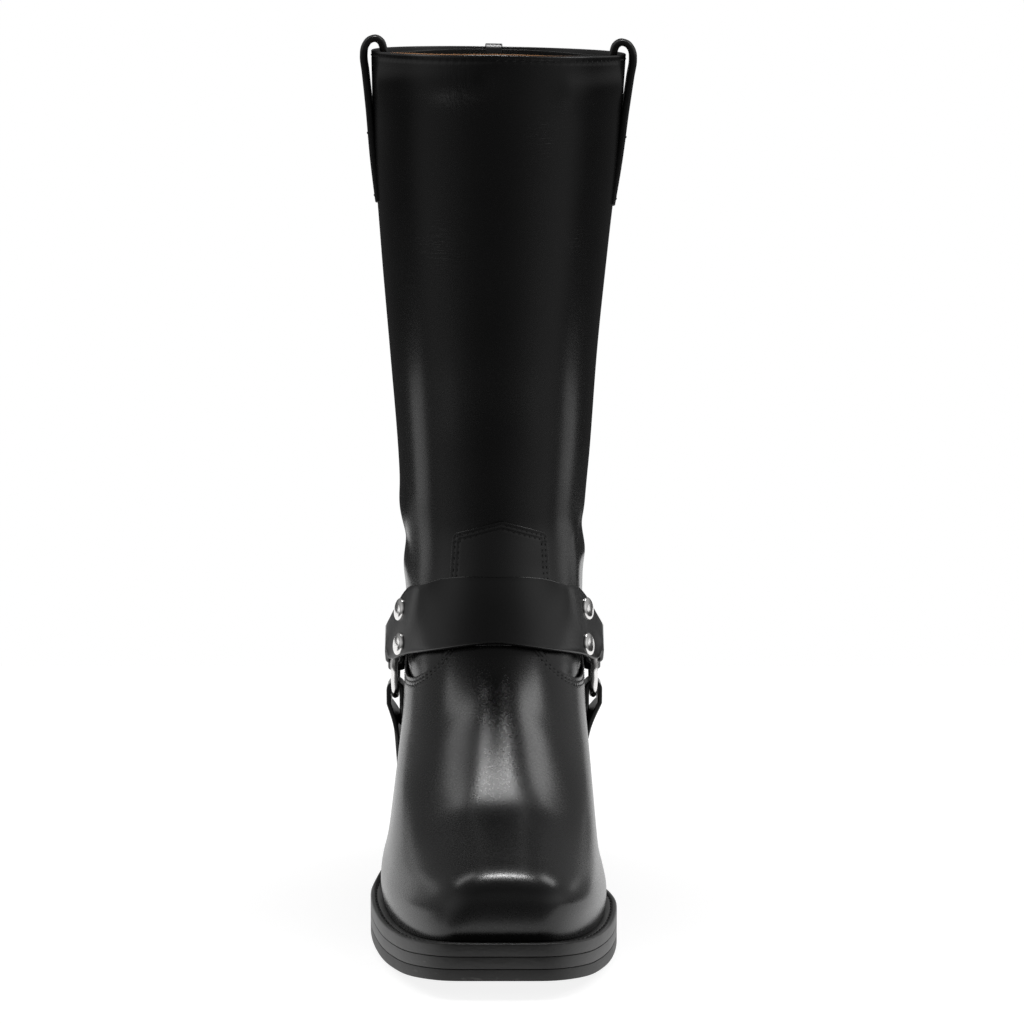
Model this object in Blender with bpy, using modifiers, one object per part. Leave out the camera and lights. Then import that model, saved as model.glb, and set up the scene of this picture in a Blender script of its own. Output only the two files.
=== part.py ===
"""Harness boot for the right foot, as an assembly of separate pieces.

+Z is up, the toe points to -Y and the lateral (little toe) side is -X. The tables and named sizes are in
millimetres, and the meshes are made in metres. The origin lies under the middle of the sole.
"""

from collections import namedtuple

import bmesh
import bpy
import numpy as np
from mathutils import Vector

MM = 0.001
GAP = 0.3
LAYER_GAP = 0.45

# Fineness: points along the drawn outlines, and rows and columns of the faceted solids
END_POINTS = 300
MIDDLE_POINTS = 120
SOLE_STATIONS = 40
WELT_POINTS_A_SIDE = 34
HEEL_STATIONS = 14
UPPER_COLUMNS = 52
VAMP_ROWS = 15
VAMP_ROW_SPREAD = 1.35
SHAFT_ROWS = 16
LINING_ROWS_LOW = 12
LINING_ROWS_HIGH = 11
TONGUE_COLUMNS = 9
TONGUE_ROWS = 11
INSTEP_ROWS = 33
HEEL_STRAP_ROWS = 37
HANG_ROWS = 12
PULL_ROWS = 26
FINE_ROWS = 240
FINE_COLUMNS = 60

# Sole: total length, layer heights and the line of its tread from toe to heel
TOE_Y = -141.0
HEEL_Y = 141.0
OUTSOLE_HEIGHT = 4.45
MIDSOLE_HEIGHT = 4.45
WELT_HEIGHT = 5.0
HEEL_BREAST_Y = 72.0
TOP_LIFT_HEIGHT = 6.0
HEEL_BACK_TAPER = 4.0
HEEL_SIDE_TAPER = 2.2
HEEL_BREAST_TAPER = 1.5
TreadPoint = namedtuple("TreadPoint", "y z")
TREAD = (
    TreadPoint(-141.0, 6.0),
    TreadPoint(-113.0, 1.6),
    TreadPoint(-85.0, 0.0),
    TreadPoint(-35.0, 0.0),
    TreadPoint(5.0, 7.0),
    TreadPoint(40.0, 21.5),
    TreadPoint(72.0, 33.0),
    TreadPoint(105.0, 36.5),
    TreadPoint(141.0, 38.0),
)
MIDSOLE_FOOT = OUTSOLE_HEIGHT + LAYER_GAP
WELT_FOOT = MIDSOLE_FOOT + MIDSOLE_HEIGHT + LAYER_GAP
SEAT_RISE = WELT_FOOT + WELT_HEIGHT + LAYER_GAP

# Upper: wall, the step of the vamp and counter over the shaft, and the toe's skew
WALL = 2.6
STEP = 1.2
STEP_FADE = 60.0
BALL_SKEW = 10.0
TOE_SHIFT = 2.0
RIM_TILT = 0.016
SOFTEN_REACH = 5
INSOLE_INSET = 4.0
WELT_INNER_INSET = 2.9
INSOLE_STAND = 1.6


def curve_through(knots, values, at):
    """A curve that never overshoots its knots: cubic pieces whose slopes are harmonic means of the chords."""
    knots = np.asarray(knots, float)
    values = np.asarray(values, float)
    step = np.diff(knots)
    chord = np.diff(values) / step
    slope = np.zeros_like(values)
    slope[0] = chord[0]
    slope[-1] = chord[-1]
    product = chord[:-1] * chord[1:]
    total = np.where(product > 0, chord[:-1] + chord[1:], 1.0)
    slope[1:-1] = np.where(product > 0, 2 * product / total, 0.0)
    at = np.clip(at, knots[0], knots[-1])
    piece = np.clip(np.searchsorted(knots, at, side="right") - 1, 0, len(step) - 1)
    t = (at - knots[piece]) / step[piece]
    start = values[piece] * (1 + 2 * t) * (1 - t) ** 2 + slope[piece] * step[piece] * t * (1 - t) ** 2
    end = values[piece + 1] * t**2 * (3 - 2 * t) - slope[piece + 1] * step[piece] * t**2 * (1 - t)
    return start + end


def ease(low, high, at):
    """Zero below low, one above high, with a level start and end."""
    t = np.clip((at - low) / (high - low), 0.0, 1.0)
    return t * t * (3 - 2 * t)


def soften(values):
    """A running mean over SOFTEN_REACH values each way, weighted to the middle. Both ends keep theirs."""
    window = np.hanning(2 * SOFTEN_REACH + 3)[1:-1]
    before = 2 * values[0] - values[SOFTEN_REACH:0:-1]
    after = 2 * values[-1] - values[-2 : -SOFTEN_REACH - 2 : -1]
    return np.convolve(np.concatenate([before, values, after]), window / window.sum(), mode="valid")


def tread(y):
    """Height of the sole's underside at y."""
    return curve_through([p.y for p in TREAD], [p.z for p in TREAD], y)


def seat(y):
    """Height of the feather line, where the upper stands on the welt."""
    return tread(y) + SEAT_RISE


# Rings of the last, from the feather line to the collar. Each is a level or tilted outline of the upper:
# its front and back points, its half widths at ball, waist and heel, where ball and heel lie along it,
# how the toe tapers, and how blunt its two ends are.
Ring = namedtuple(
    "Ring",
    "front_y front_z back_y back_z ball_lateral ball_medial waist_lateral waist_medial"
    " heel_lateral heel_medial ball_at heel_at taper nose tail",
)
TOE_SEAT = seat(-134.5)
HEEL_SEAT = seat(136.5)
RINGS = (
    Ring(-134.5, TOE_SEAT, 136.5, HEEL_SEAT, 45.0, 44.6, 35.0, 29.5, 31.0, 31.0, 0.31, 0.85, 0.46, 8.0, 2.4),
    Ring(-135.4, 28.0, 138.2, 58.0, 46.0, 45.4, 36.4, 32.0, 32.8, 32.8, 0.31, 0.845, 0.46, 7.0, 2.4),
    Ring(-134.8, 37.0, 139.2, 64.0, 45.2, 44.2, 37.2, 34.4, 34.2, 34.2, 0.30, 0.84, 0.46, 5.6, 2.4),
    Ring(-130.0, 43.6, 139.4, 69.0, 43.2, 42.2, 37.6, 36.2, 35.0, 35.0, 0.29, 0.835, 0.46, 5.0, 2.4),
    Ring(-119.0, 47.9, 139.2, 72.5, 42.0, 41.4, 37.7, 36.9, 35.3, 35.3, 0.295, 0.83, 0.44, 4.2, 2.37),
    Ring(-78.0, 62.8, 138.2, 81.5, 39.2, 39.6, 38.0, 38.2, 35.8, 35.8, 0.33, 0.81, 0.30, 2.5, 2.3),
    Ring(-54.0, 75.0, 136.8, 89.0, 38.0, 38.6, 37.5, 38.0, 35.8, 35.8, 0.37, 0.79, 0.20, 2.35, 2.25),
    Ring(-34.0, 87.0, 134.8, 97.5, 37.8, 38.4, 37.5, 38.0, 35.6, 35.6, 0.39, 0.77, 0.12, 2.25, 2.2),
    Ring(-14.0, 103.5, 131.8, 109.0, 37.7, 38.2, 37.5, 38.0, 35.6, 35.6, 0.41, 0.74, 0.06, 2.2, 2.15),
    Ring(0.0, 122.0, 129.0, 122.0, 37.8, 38.2, 37.6, 38.0, 36.0, 36.0, 0.43, 0.70, 0.02, 2.15, 2.1),
    Ring(8.5, 140.0, 126.8, 137.0, 38.0, 38.3, 37.9, 38.1, 36.8, 36.8, 0.45, 0.65, 0.0, 2.1, 2.1),
    Ring(12.8, 160.0, 125.5, 155.0, 39.7, 39.1, 39.6, 39.0, 39.2, 38.8, 0.48, 0.57, 0.0, 2.1, 2.1),
    Ring(13.0, 186.0, 125.0, 182.0, 41.2, 41.4, 41.2, 41.4, 41.2, 41.4, 0.5, 0.5, 0.0, 2.1, 2.1),
    Ring(9.0, 226.0, 125.4, 224.0, 44.4, 44.2, 44.4, 44.2, 44.4, 44.2, 0.5, 0.5, 0.0, 2.1, 2.1),
    Ring(3.0, 271.0, 126.4, 270.0, 48.0, 48.6, 48.0, 48.6, 48.0, 48.6, 0.5, 0.5, 0.0, 2.1, 2.1),
    Ring(-5.0, 316.0, 127.6, 316.0, 50.8, 53.3, 50.8, 53.3, 50.8, 53.3, 0.5, 0.5, 0.0, 2.1, 2.1),
    Ring(-12.0, 352.6, 128.5, 352.6, 51.5, 55.6, 51.5, 55.6, 51.5, 55.6, 0.5, 0.5, 0.0, 2.1, 2.1),
)
FRONT_LINE = np.array([(ring.front_y, ring.front_z) for ring in RINGS])
# Heights v run along the front line; the toe's stretch of it is drawn together to end at TOE_RUN
FRONT_RUN = np.concatenate([[0.0], np.cumsum(np.hypot(*np.diff(FRONT_LINE, axis=0).T))])
TOE_RUN = 101.8
BEYOND_TOE = FRONT_RUN - FRONT_RUN[6]
RING_KNOTS = TOE_RUN + np.where(BEYOND_TOE < 0, BEYOND_TOE * TOE_RUN / FRONT_RUN[6], BEYOND_TOE)
COLLAR_V = RING_KNOTS[-1]
LEVEL_V = RING_KNOTS[6]
SKEW_V = RING_KNOTS[8]
TOE_CROWN = 0.006
CROWN_BACK_Y = -20.0
CROWN_X = 4.0

# The sole's own outline, with the same columns as a ring of the last
SOLE_OUTLINE = RINGS[0]._replace(
    front_y=TOE_Y,
    back_y=HEEL_Y,
    ball_lateral=50.2,
    ball_medial=49.6,
    waist_lateral=38.8,
    waist_medial=33.2,
    heel_lateral=34.6,
    heel_medial=34.6,
    ball_at=0.33,
)

# Edge of the vamp and counter: share of the way round from the front, against the height along the front line
EdgePoint = namedtuple("EdgePoint", "share v")
EDGE = (
    EdgePoint(0.0, 166.0),
    EdgePoint(0.10, 163.0),
    EdgePoint(0.13, 152.5),
    EdgePoint(0.165, 144.0),
    EdgePoint(0.205, 137.5),
    EdgePoint(0.266, 131.3),
    EdgePoint(0.33, 128.5),
    EdgePoint(0.40, 130.5),
    EdgePoint(0.60, 139.0),
    EdgePoint(0.80, 147.0),
    EdgePoint(1.0, 156.0),
)

# Tongue of the vamp: its two sides, measured round the shaft from the front line, and its top edge
TONGUE_LATERAL = -17.6
TONGUE_MEDIAL = 22.4
TONGUE_FOOT_V = 150.0
TONGUE_CORNER_V = 208.5
TONGUE_TIP_V = 213.0
TONGUE_PROUD = 0.25
TONGUE_DEPTH = 2.0

# Harness: leather thickness, ring, where the ring hangs, and the strap widths
STRAP_THICKNESS = 2.0
STRAP_CLEAR = 0.6
RING_RADIUS = 14.5
RING_WIRE = 1.5
RING_SEGMENTS = 24
WIRE_SEGMENTS = 6
RING_Y = 49.0
RING_Z = 93.0
FOLD_HALF_WIDTH = 7.0
FOLD_START = 3.0
FOLD_SLACK = 1.2
FOLD_LENGTH = 12.0
FOLD_BENDS = 7
ACROSS = np.array([-1.0, 0.0, 1.0])
INSTEP_HALF_WIDTH = 15.0
INSTEP_ANGLE = 136.0
INSTEP_V = 175.0
INSTEP_DROP = 3.0
INSTEP_SPREAD = 12.0
INSTEP_CONTACT = 0.13
INSTEP_BRIDGE = (33.2, 16.0, 117.0)
INSTEP_LEAN = 0.22
HEEL_STRAP_HALF_WIDTH = 12.0
HEEL_STRAP_ANGLE = 6.0
HEEL_STRAP_RISE = 8.0
HEEL_STRAP_REACH = 0.36
SOLE_STRAP_HALF_WIDTH = 11.0
SOLE_STRAP_ANGLE = -92.0
SOLE_STRAP_Y = 47.0
SOLE_STRAP_HANG = ((68.0, 1.6), (58.0, 0.6), (49.0, 0.0))
RIVET_RADIUS = 4.6
RIVET_DOME = 2.2
RIVET_MIDDLE = (40.2, 29.0, 112.2)
RivetPlace = namedtuple("RivetPlace", "name y z")
RIVET_PLACES = (RivetPlace("lower", 23.0, 105.3), RivetPlace("upper", 29.0, 119.0))
RIVET_RIM = 0.5
RIVET_GAP = 0.75
RIVET_SEGMENTS = 16

# Pull straps: width round the collar, and their path over it, up from the rim and out from the shaft
PULL_THICKNESS = 2.6
PULL_HALF_WIDTH = 12.5
PULL_Y = 58.0
PULL_Z = 330.0
PullPoint = namedtuple("PullPoint", "rise out")
PULL_PATH = (
    PullPoint(-65.0, 1.7),
    PullPoint(-45.0, 1.75),
    PullPoint(-25.0, 2.3),
    PullPoint(-10.0, 3.1),
    PullPoint(-3.0, 3.5),
    PullPoint(1.8, 2.7),
    PullPoint(4.2, 0.8),
    PullPoint(4.7, -1.3),
    PullPoint(3.4, -3.6),
    PullPoint(-0.5, -5.0),
    PullPoint(-8.0, -4.6),
    PullPoint(-25.0, -4.5),
    PullPoint(-42.0, -4.5),
)


def ring_at(v):
    """The ring at height v along the front line: each column as a smooth curve, then softened."""
    fine = np.arange(0.0, COLLAR_V + 1.0, 1.0)
    columns = [soften(curve_through(RING_KNOTS, column, fine)) for column in np.array(RINGS).T]
    return Ring(*(np.interp(v, fine, column) for column in columns))


def half_outline(ring, side, skew):
    """One side of an outline from heel to toe: a rounded heel end, smooth steps to the waist and the ball,
    then a toe that tapers with the square of its length and ends as bluntly as the nose says."""
    lateral = side < 0
    ball = ring.ball_lateral if lateral else ring.ball_medial
    waist = ring.waist_lateral if lateral else ring.waist_medial
    heel = ring.heel_lateral if lateral else ring.heel_medial
    length = ring.back_y - ring.front_y
    ball_y = ring.front_y + ring.ball_at * length - side * skew
    heel_y = ring.front_y + ring.heel_at * length
    end = 1 - np.linspace(1.0, 0.0, END_POINTS) ** 4
    heel_end = end[::-1]
    heel_width = heel * (1 - heel_end**ring.tail) ** (1 / ring.tail)
    middle = np.linspace(0.0, 1.0, MIDDLE_POINTS)[1:-1]
    to_waist = heel + (waist - heel) * ease(0.0, 0.5, middle)
    middle_width = to_waist + (ball - waist) * ease(0.5, 1.0, middle)
    toe_width = ball * (1 - ring.taper * end**2) * (1 - end**ring.nose) ** (1 / ring.nose)
    y = np.concatenate(
        [
            heel_y + heel_end * (ring.back_y - heel_y),
            heel_y + middle * (ball_y - heel_y),
            ball_y + end * (ring.front_y - ball_y),
        ]
    )
    shift = TOE_SHIFT * skew / BALL_SKEW * np.clip((ball_y - y) / (ball_y - ring.front_y), 0.0, 1.0) ** 2
    x = side * np.concatenate([heel_width, middle_width, toe_width]) + shift
    return x, y


def even_points(x, y, count):
    """Points at even distances along a line, both ends included."""
    run = np.concatenate([[0.0], np.cumsum(np.hypot(np.diff(x), np.diff(y)))])
    at = np.linspace(0.0, run[-1], count)
    return np.interp(at, run, x), np.interp(at, run, y)


def outline(ring, skew, half_count):
    """A closed outline of 2 * half_count points, from the heel's back by the lateral side to the toe."""
    left = even_points(*half_outline(ring, -1, skew), half_count + 1)
    right = even_points(*half_outline(ring, 1, skew), half_count + 1)
    x = np.concatenate([left[0][:-1], right[0][:0:-1]])
    y = np.concatenate([left[1][:-1], right[1][:0:-1]])
    return x, y


class Last:
    """The upper's outer surface, worked out on a fine grid: rows 1 mm apart along the front line, columns
    evenly round each ring. Places on it are named by u, from 0 at the back over the lateral side to 0.5 at
    the front and over the medial side to 1, and by v, the height along the front line."""

    def __init__(self, half_count=104):
        self.rows = int(COLLAR_V) + 1
        self.columns = 2 * half_count
        self.points = np.array([self.row(v, half_count) for v in np.linspace(0.0, COLLAR_V, self.rows)])
        along = np.roll(self.points, -1, axis=1) - np.roll(self.points, 1, axis=1)
        normal = np.cross(along, np.gradient(self.points, axis=0))
        self.normals = normal / np.linalg.norm(normal, axis=2, keepdims=True)

    def row(self, v, half_count):
        """One ring: low rings follow the seat of the sole, high ones lie in a plane."""
        ring = ring_at(v)
        x, y = outline(ring, BALL_SKEW * (1 - ease(0.0, SKEW_V, v)), half_count)
        forward = (ring.back_y - y) / (ring.back_y - ring.front_y)
        plane = ring.back_z + (ring.front_z - ring.back_z) * forward
        back_rise = ring.back_z - seat(ring.back_y)
        front_rise = ring.front_z - seat(ring.front_y)
        low = seat(y) + back_rise + (front_rise - back_rise) * forward
        level = ease(0.0, LEVEL_V, v)
        z = low + (plane - low) * level - RIM_TILT * x * ease(LEVEL_V, COLLAR_V, v)
        crowned = ease(0.0, RING_KNOTS[3], v) * (1 - ease(RING_KNOTS[4], LEVEL_V, v))
        z = z - TOE_CROWN * ((x - CROWN_X) ** 2 - CROWN_X**2) * crowned * ease(CROWN_BACK_Y, TOE_Y, y)
        return np.stack([x, y, z], axis=1)

    def read(self, grid, u, v):
        """A grid's values at u and v, between its four nearest points."""
        u, v = np.broadcast_arrays(u, v)
        column = np.mod(u, 1.0) * self.columns
        row = np.clip(v, 0.0, COLLAR_V) / COLLAR_V * (self.rows - 1)
        left = np.floor(column + 1e-9).astype(int)
        low = np.minimum(np.floor(row + 1e-9).astype(int), self.rows - 2)
        across = (column - left)[..., None]
        up = (row - low)[..., None]
        right = (left + 1) % self.columns
        left = left % self.columns
        bottom = grid[low, left] * (1 - across) + grid[low, right] * across
        top = grid[low + 1, left] * (1 - across) + grid[low + 1, right] * across
        return bottom * (1 - up) + top * up

    def at(self, u, v, offset=0.0):
        """Points at u and v, moved by offset along the surface's normal, and straight up above the collar."""
        u, v, offset = np.broadcast_arrays(*(np.asarray(value, float) for value in (u, v, offset)))
        points = self.read(self.points, u, v) + self.read(self.normals, u, v) * offset[..., None]
        points[..., 2] += np.maximum(v - COLLAR_V, 0.0)
        return points

    def half_girth(self, v):
        """Length of one ring from back to front, on average over both sides."""
        ring = self.at(np.linspace(0.0, 1.0, self.columns, endpoint=False), v)
        return np.linalg.norm(ring - np.roll(ring, 1, axis=0), axis=1).sum() / 2

    def level(self, u, z, offset):
        """Points at one u and at heights z over the floor, moved by offset along the normal."""
        v = np.linspace(0.0, COLLAR_V, self.rows)
        column = self.read(self.points, np.full_like(v, u), v)
        return self.at(u, np.interp(z, column[:, 2], v), offset)

    def beside(self, side, y, z):
        """How far out the surface lies at y and z, on one side."""
        return float(self.at(*self.nearest(side, y, z))[0])

    def nearest(self, side, y, z):
        """The place u, v on one side of the boot that lies nearest to y and z."""
        off = (self.points[..., 1] - y) ** 2 + (self.points[..., 2] - z) ** 2
        off = np.where(self.points[..., 0] * side > 0, off, np.inf)
        row, column = np.unravel_index(np.argmin(off), off.shape)
        return column / self.columns, row / (self.rows - 1) * COLLAR_V


def edge_height(share):
    """Height of the vamp and counter edge at each share of the way round from the front."""
    return curve_through([p.share for p in EDGE], [p.v for p in EDGE], share)


def shaft_inset(above):
    """How far the shaft lies behind the vamp's surface, at a height above the edge."""
    return -STEP * (1 - ease(0.0, STEP_FADE, above))


def add_material(name, colour, roughness, metallic=0.0):
    """A plain principled material."""
    material = bpy.data.materials.new(name)
    material.use_nodes = True
    shader = material.node_tree.nodes["Principled BSDF"]
    shader.inputs["Base Color"].default_value = (*colour, 1.0)
    shader.inputs["Roughness"].default_value = roughness
    shader.inputs["Metallic"].default_value = metallic
    return material


def add_piece(name, points, faces, material):
    """A mesh object from points in millimetres, with its faces turned outwards."""
    mesh = bpy.data.meshes.new(name)
    mesh.from_pydata((np.asarray(points).reshape(-1, 3) * MM).tolist(), [], faces)
    work = bmesh.new()
    work.from_mesh(mesh)
    bmesh.ops.recalc_face_normals(work, faces=work.faces)
    work.to_mesh(mesh)
    work.free()
    mesh.materials.append(material)
    mesh.shade_smooth()
    mesh.set_sharp_from_angle(angle=np.radians(35.0))
    piece = bpy.data.objects.new(name, mesh)
    parts.objects.link(piece)
    return piece


def loop_faces(loops, count, closed):
    """Four-sided faces between loops of count points, one after another, the last to the first if closed."""
    faces = []
    for loop in range(loops if closed else loops - 1):
        for i in range(count):
            j = (i + 1) % count
            after = (loop + 1) % loops
            faces.append((loop * count + i, loop * count + j, after * count + j, after * count + i))
    return faces


def add_plate(name, rails, material):
    """A plate from a stack of rails. Each rail holds the left and right edge from heel to toe, so that the
    two ends and the top and bottom close as strips across the plate."""
    stations = len(rails[0][0])
    loops = [np.concatenate([left, right[::-1]]) for left, right in rails]
    count = 2 * stations
    faces = loop_faces(len(loops), count, closed=False)
    top = (len(loops) - 1) * count
    for base in (0, top):
        for i in range(stations - 1):
            far = count - 1 - i
            faces.append((base + i, base + i + 1, base + far - 1, base + far))
    return add_piece(name, loops, faces, material)


def add_band(name, outer, inner, material):
    """A closed band between two grids of the same size, such as a strap's outer and inner face."""
    rows, columns = outer.shape[:2]
    grid = np.arange(rows * columns).reshape(rows, columns)
    faces = []
    for base in (0, rows * columns):
        cells = base + np.stack([grid[:-1, :-1], grid[:-1, 1:], grid[1:, 1:], grid[1:, :-1]], axis=-1)
        faces += cells.reshape(-1, 4).tolist()
    rim = np.concatenate([grid[0, :-1], grid[:-1, -1], grid[-1, :0:-1], grid[:0:-1, 0]])
    for a, b in zip(rim, np.roll(rim, -1)):
        faces.append((a, b, b + rows * columns, a + rows * columns))
    points = np.concatenate([outer.reshape(-1, 3), inner.reshape(-1, 3)])
    return add_piece(name, points, faces, material)


def sole_rails(ring, low, high):
    """The two edges of a sole layer, between two heights over the tread, from heel to toe."""
    left_x, left_y = half_outline(ring, -1, BALL_SKEW)
    right_x, right_y = half_outline(ring, 1, BALL_SKEW)
    _, y = even_points(left_x, left_y, SOLE_STATIONS + 2)
    y = y[1:-1]
    left = np.interp(-y, -left_y, left_x)
    right = np.interp(-y, -right_y, right_x)
    rails = []
    for height in (low, high):
        z = tread(y) + height
        rails.append((np.stack([left, y, z], axis=1), np.stack([right, y, z], axis=1)))
    return rails


def inset_outline(ring, inset):
    """The same outline drawn in by a distance on every side."""
    widths = ("ball_lateral", "ball_medial", "waist_lateral", "waist_medial", "heel_lateral", "heel_medial")
    smaller = {name: getattr(ring, name) - inset for name in widths}
    return ring._replace(front_y=ring.front_y + inset, back_y=ring.back_y - inset, **smaller)


def add_welt():
    """The strip round the feather line: a closed ring of rectangular section on the midsole."""
    loops = []
    for ring, height in (
        (SOLE_OUTLINE, WELT_FOOT),
        (SOLE_OUTLINE, WELT_FOOT + WELT_HEIGHT),
        (inset_outline(RINGS[0], WELT_INNER_INSET), WELT_FOOT + WELT_HEIGHT),
        (inset_outline(RINGS[0], WELT_INNER_INSET), WELT_FOOT),
    ):
        x, y = outline(ring, BALL_SKEW, WELT_POINTS_A_SIDE)
        loops.append(np.stack([x, y, tread(y) + height], axis=1))
    return add_piece("welt", loops, loop_faces(len(loops), 2 * WELT_POINTS_A_SIDE, closed=True), leather)


def add_heel():
    """The stacked heel block and its top lift, cut from the sole's outline and drawn in towards the floor."""
    left_x, left_y = half_outline(SOLE_OUTLINE, -1, BALL_SKEW)
    right_x, right_y = half_outline(SOLE_OUTLINE, 1, BALL_SKEW)
    share = np.sin(np.linspace(0.02, 1.0, HEEL_STATIONS) * np.pi / 2)
    y = HEEL_Y - (1 - np.sqrt(1 - share**2)) * (HEEL_Y - HEEL_BREAST_Y)
    full = tread(y) - GAP
    under = np.full_like(y, TOP_LIFT_HEIGHT + GAP)

    def rail(heights, drop):
        """Both edges at one level: drop is 0 at the sole and 1 at the floor."""
        along = (y - HEEL_BREAST_Y) / (HEEL_Y - HEEL_BREAST_Y)
        shifted = y - drop * (HEEL_BACK_TAPER * along - HEEL_BREAST_TAPER * (1 - along))
        left = np.interp(-y, -left_y, left_x) + HEEL_SIDE_TAPER * drop
        right = np.interp(-y, -right_y, right_x) - HEEL_SIDE_TAPER * drop
        return np.stack([left, shifted, heights], axis=1), np.stack([right, shifted, heights], axis=1)

    waist = (full + under) / 2
    add_plate("heel", [rail(under, 0.9), rail(waist, 0.62), rail(full, 0.0)], stack_leather)
    lift_top = np.full_like(y, TOP_LIFT_HEIGHT)
    add_plate("heel_top_lift", [rail(0 * y, 1.0), rail(lift_top, 0.9)], rubber)


def unit(vector):
    """A vector of length one."""
    vector = np.asarray(vector, float)
    return vector / np.linalg.norm(vector, axis=-1, keepdims=True)


def through(rows, count):
    """Rows of points as one smooth curve at count even distances: a spline whose slopes join neighbours."""
    rows = np.asarray(rows, float)
    middle = rows.reshape(len(rows), -1, 3).mean(axis=1)
    knots = np.concatenate([[0.0], np.cumsum(np.linalg.norm(np.diff(middle, axis=0), axis=1))])
    at = np.linspace(0.0, knots[-1], count)
    flat = rows.reshape(len(rows), -1)
    slope = np.gradient(flat, knots, axis=0)
    piece = np.clip(np.searchsorted(knots, at, side="right") - 1, 0, len(knots) - 2)
    step = np.diff(knots)[piece][:, None]
    t = (at - knots[piece])[:, None] / step
    start = flat[piece] * (1 + 2 * t) * (1 - t) ** 2 + slope[piece] * step * t * (1 - t) ** 2
    end = flat[piece + 1] * t**2 * (3 - 2 * t) - slope[piece + 1] * step * t**2 * (1 - t)
    return (start + end).reshape((count,) + rows.shape[1:])


def through_softly(rows, count):
    """The same, softened along its length so that the strap's edges don't waver from row to row."""
    rows = np.asarray(rows, float)
    middle = rows.mean(axis=1)
    length = np.linalg.norm(np.diff(middle, axis=0), axis=1).sum()
    fine = through(rows, int(length))
    soft = np.stack([soften(column) for column in fine.reshape(len(fine), -1).T], axis=1)
    return through(soft.reshape(fine.shape), count)


def add_strap(name, middle, thickness, material):
    """A strap as thick as given round its middle surface, a grid of rows along it and columns across."""
    normal = unit(np.cross(np.gradient(middle, axis=0), np.gradient(middle, axis=1)))
    return add_band(name, middle + normal * thickness / 2, middle - normal * thickness / 2, material)


def add_upper(last):
    """The hollow upper: outer rows follow the vamp and counter edge, where the wall steps in to the shaft."""
    u = np.linspace(0.0, 1.0, UPPER_COLUMNS, endpoint=False)
    edge = edge_height(np.abs(2 * u - 1))[None, :]
    low_rows = np.linspace(0.0, 1.0, VAMP_ROWS)[:, None] ** VAMP_ROW_SPREAD * edge
    high_rows = edge + np.linspace(0.0, 1.0, SHAFT_ROWS)[:, None] * (COLLAR_V - edge)
    outer = np.concatenate([last.at(u, low_rows), last.at(u, high_rows, shaft_inset(high_rows - edge))])
    inner_low = np.linspace(0.0, SKEW_V, LINING_ROWS_LOW)
    inner_high = np.linspace(SKEW_V, COLLAR_V, LINING_ROWS_HIGH)[1:]
    inner = last.at(u, np.concatenate([inner_low, inner_high])[:, None], -WALL)
    foot_x, foot_y = outline(inset_outline(RINGS[0], WALL), BALL_SKEW, len(u) // 2)
    inner[0] = np.stack([foot_x, foot_y, seat(foot_y)], axis=1)
    inner[-1, :, 2] = outer[-1, :, 2]
    rows = np.concatenate([outer, inner[::-1]])
    upper = add_piece("upper", rows, loop_faces(len(rows), rows.shape[1], closed=True), leather)
    tongue = add_tongue(last)
    union = upper.modifiers.new("tongue", "BOOLEAN")
    union.operation = "UNION"
    union.object = tongue
    return upper


def add_tongue(last):
    """The tongue of the vamp, a raised patch on the shaft's front with a shallow point at its top."""
    round_shaft = np.linspace(TONGUE_LATERAL, TONGUE_MEDIAL, TONGUE_COLUMNS)
    centre = (TONGUE_LATERAL + TONGUE_MEDIAL) / 2
    lean = np.abs(round_shaft - centre) / (TONGUE_MEDIAL - centre)
    top = TONGUE_TIP_V + (TONGUE_CORNER_V - TONGUE_TIP_V) * lean
    v = TONGUE_FOOT_V + np.linspace(0.0, 1.0, TONGUE_ROWS)[:, None] * (top - TONGUE_FOOT_V)
    u = 0.5 + round_shaft / (2 * last.half_girth(TONGUE_CORNER_V))
    tongue = add_band("tongue_patch", last.at(u, v, TONGUE_PROUD), last.at(u, v, -TONGUE_DEPTH), leather)
    tongue.hide_render = True
    tongue.display_type = "WIRE"
    parts.objects.unlink(tongue)
    cutters.objects.link(tongue)
    return tongue


class RingSeat:
    """Where a harness ring hangs on one side, and the straight and folded rows of a strap that holds it."""

    def __init__(self, last, side):
        u, v = last.nearest(side, RING_Y, RING_Z)
        self.half_fold = RING_WIRE + GAP + STRAP_THICKNESS / 2
        stand = STRAP_CLEAR + STRAP_THICKNESS / 2 + self.half_fold
        self.centre = last.at(u, v, stand)
        self.out = unit(last.read(last.normals, u, v))

    def row(self, angle, along, out, half_width=FOLD_HALF_WIDTH):
        """A strap's cross row: along from the ring's centre at an angle in its plane, and out from it."""
        turn = np.radians(angle)
        ahead = np.array([0.0, np.cos(turn), np.sin(turn)])
        ahead = unit(ahead - self.out * np.dot(ahead, self.out))
        wide = np.array([0.0, np.sin(turn), -np.cos(turn)])
        wide = unit(wide - self.out * np.dot(wide, self.out))
        across = ACROSS[:, None] * half_width
        return self.centre + ahead * along + self.out * out + wide * across

    def fold(self, angle):
        """The strap's end: in along the outside, round the wire inside the ring, and back behind it."""
        sag = RING_RADIUS - np.sqrt(RING_RADIUS**2 - FOLD_HALF_WIDTH**2)
        turn_at = RING_RADIUS - sag - FOLD_SLACK
        rows = [self.row(angle, RING_RADIUS + FOLD_START, self.half_fold)]
        for bend in np.linspace(0.0, np.pi, FOLD_BENDS):
            along = turn_at - self.half_fold * np.sin(bend)
            rows.append(self.row(angle, along, self.half_fold * np.cos(bend)))
        rows.append(self.row(angle, RING_RADIUS + FOLD_START, -self.half_fold))
        rows.append(self.row(angle, RING_RADIUS + FOLD_LENGTH, -self.half_fold))
        return rows


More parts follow.
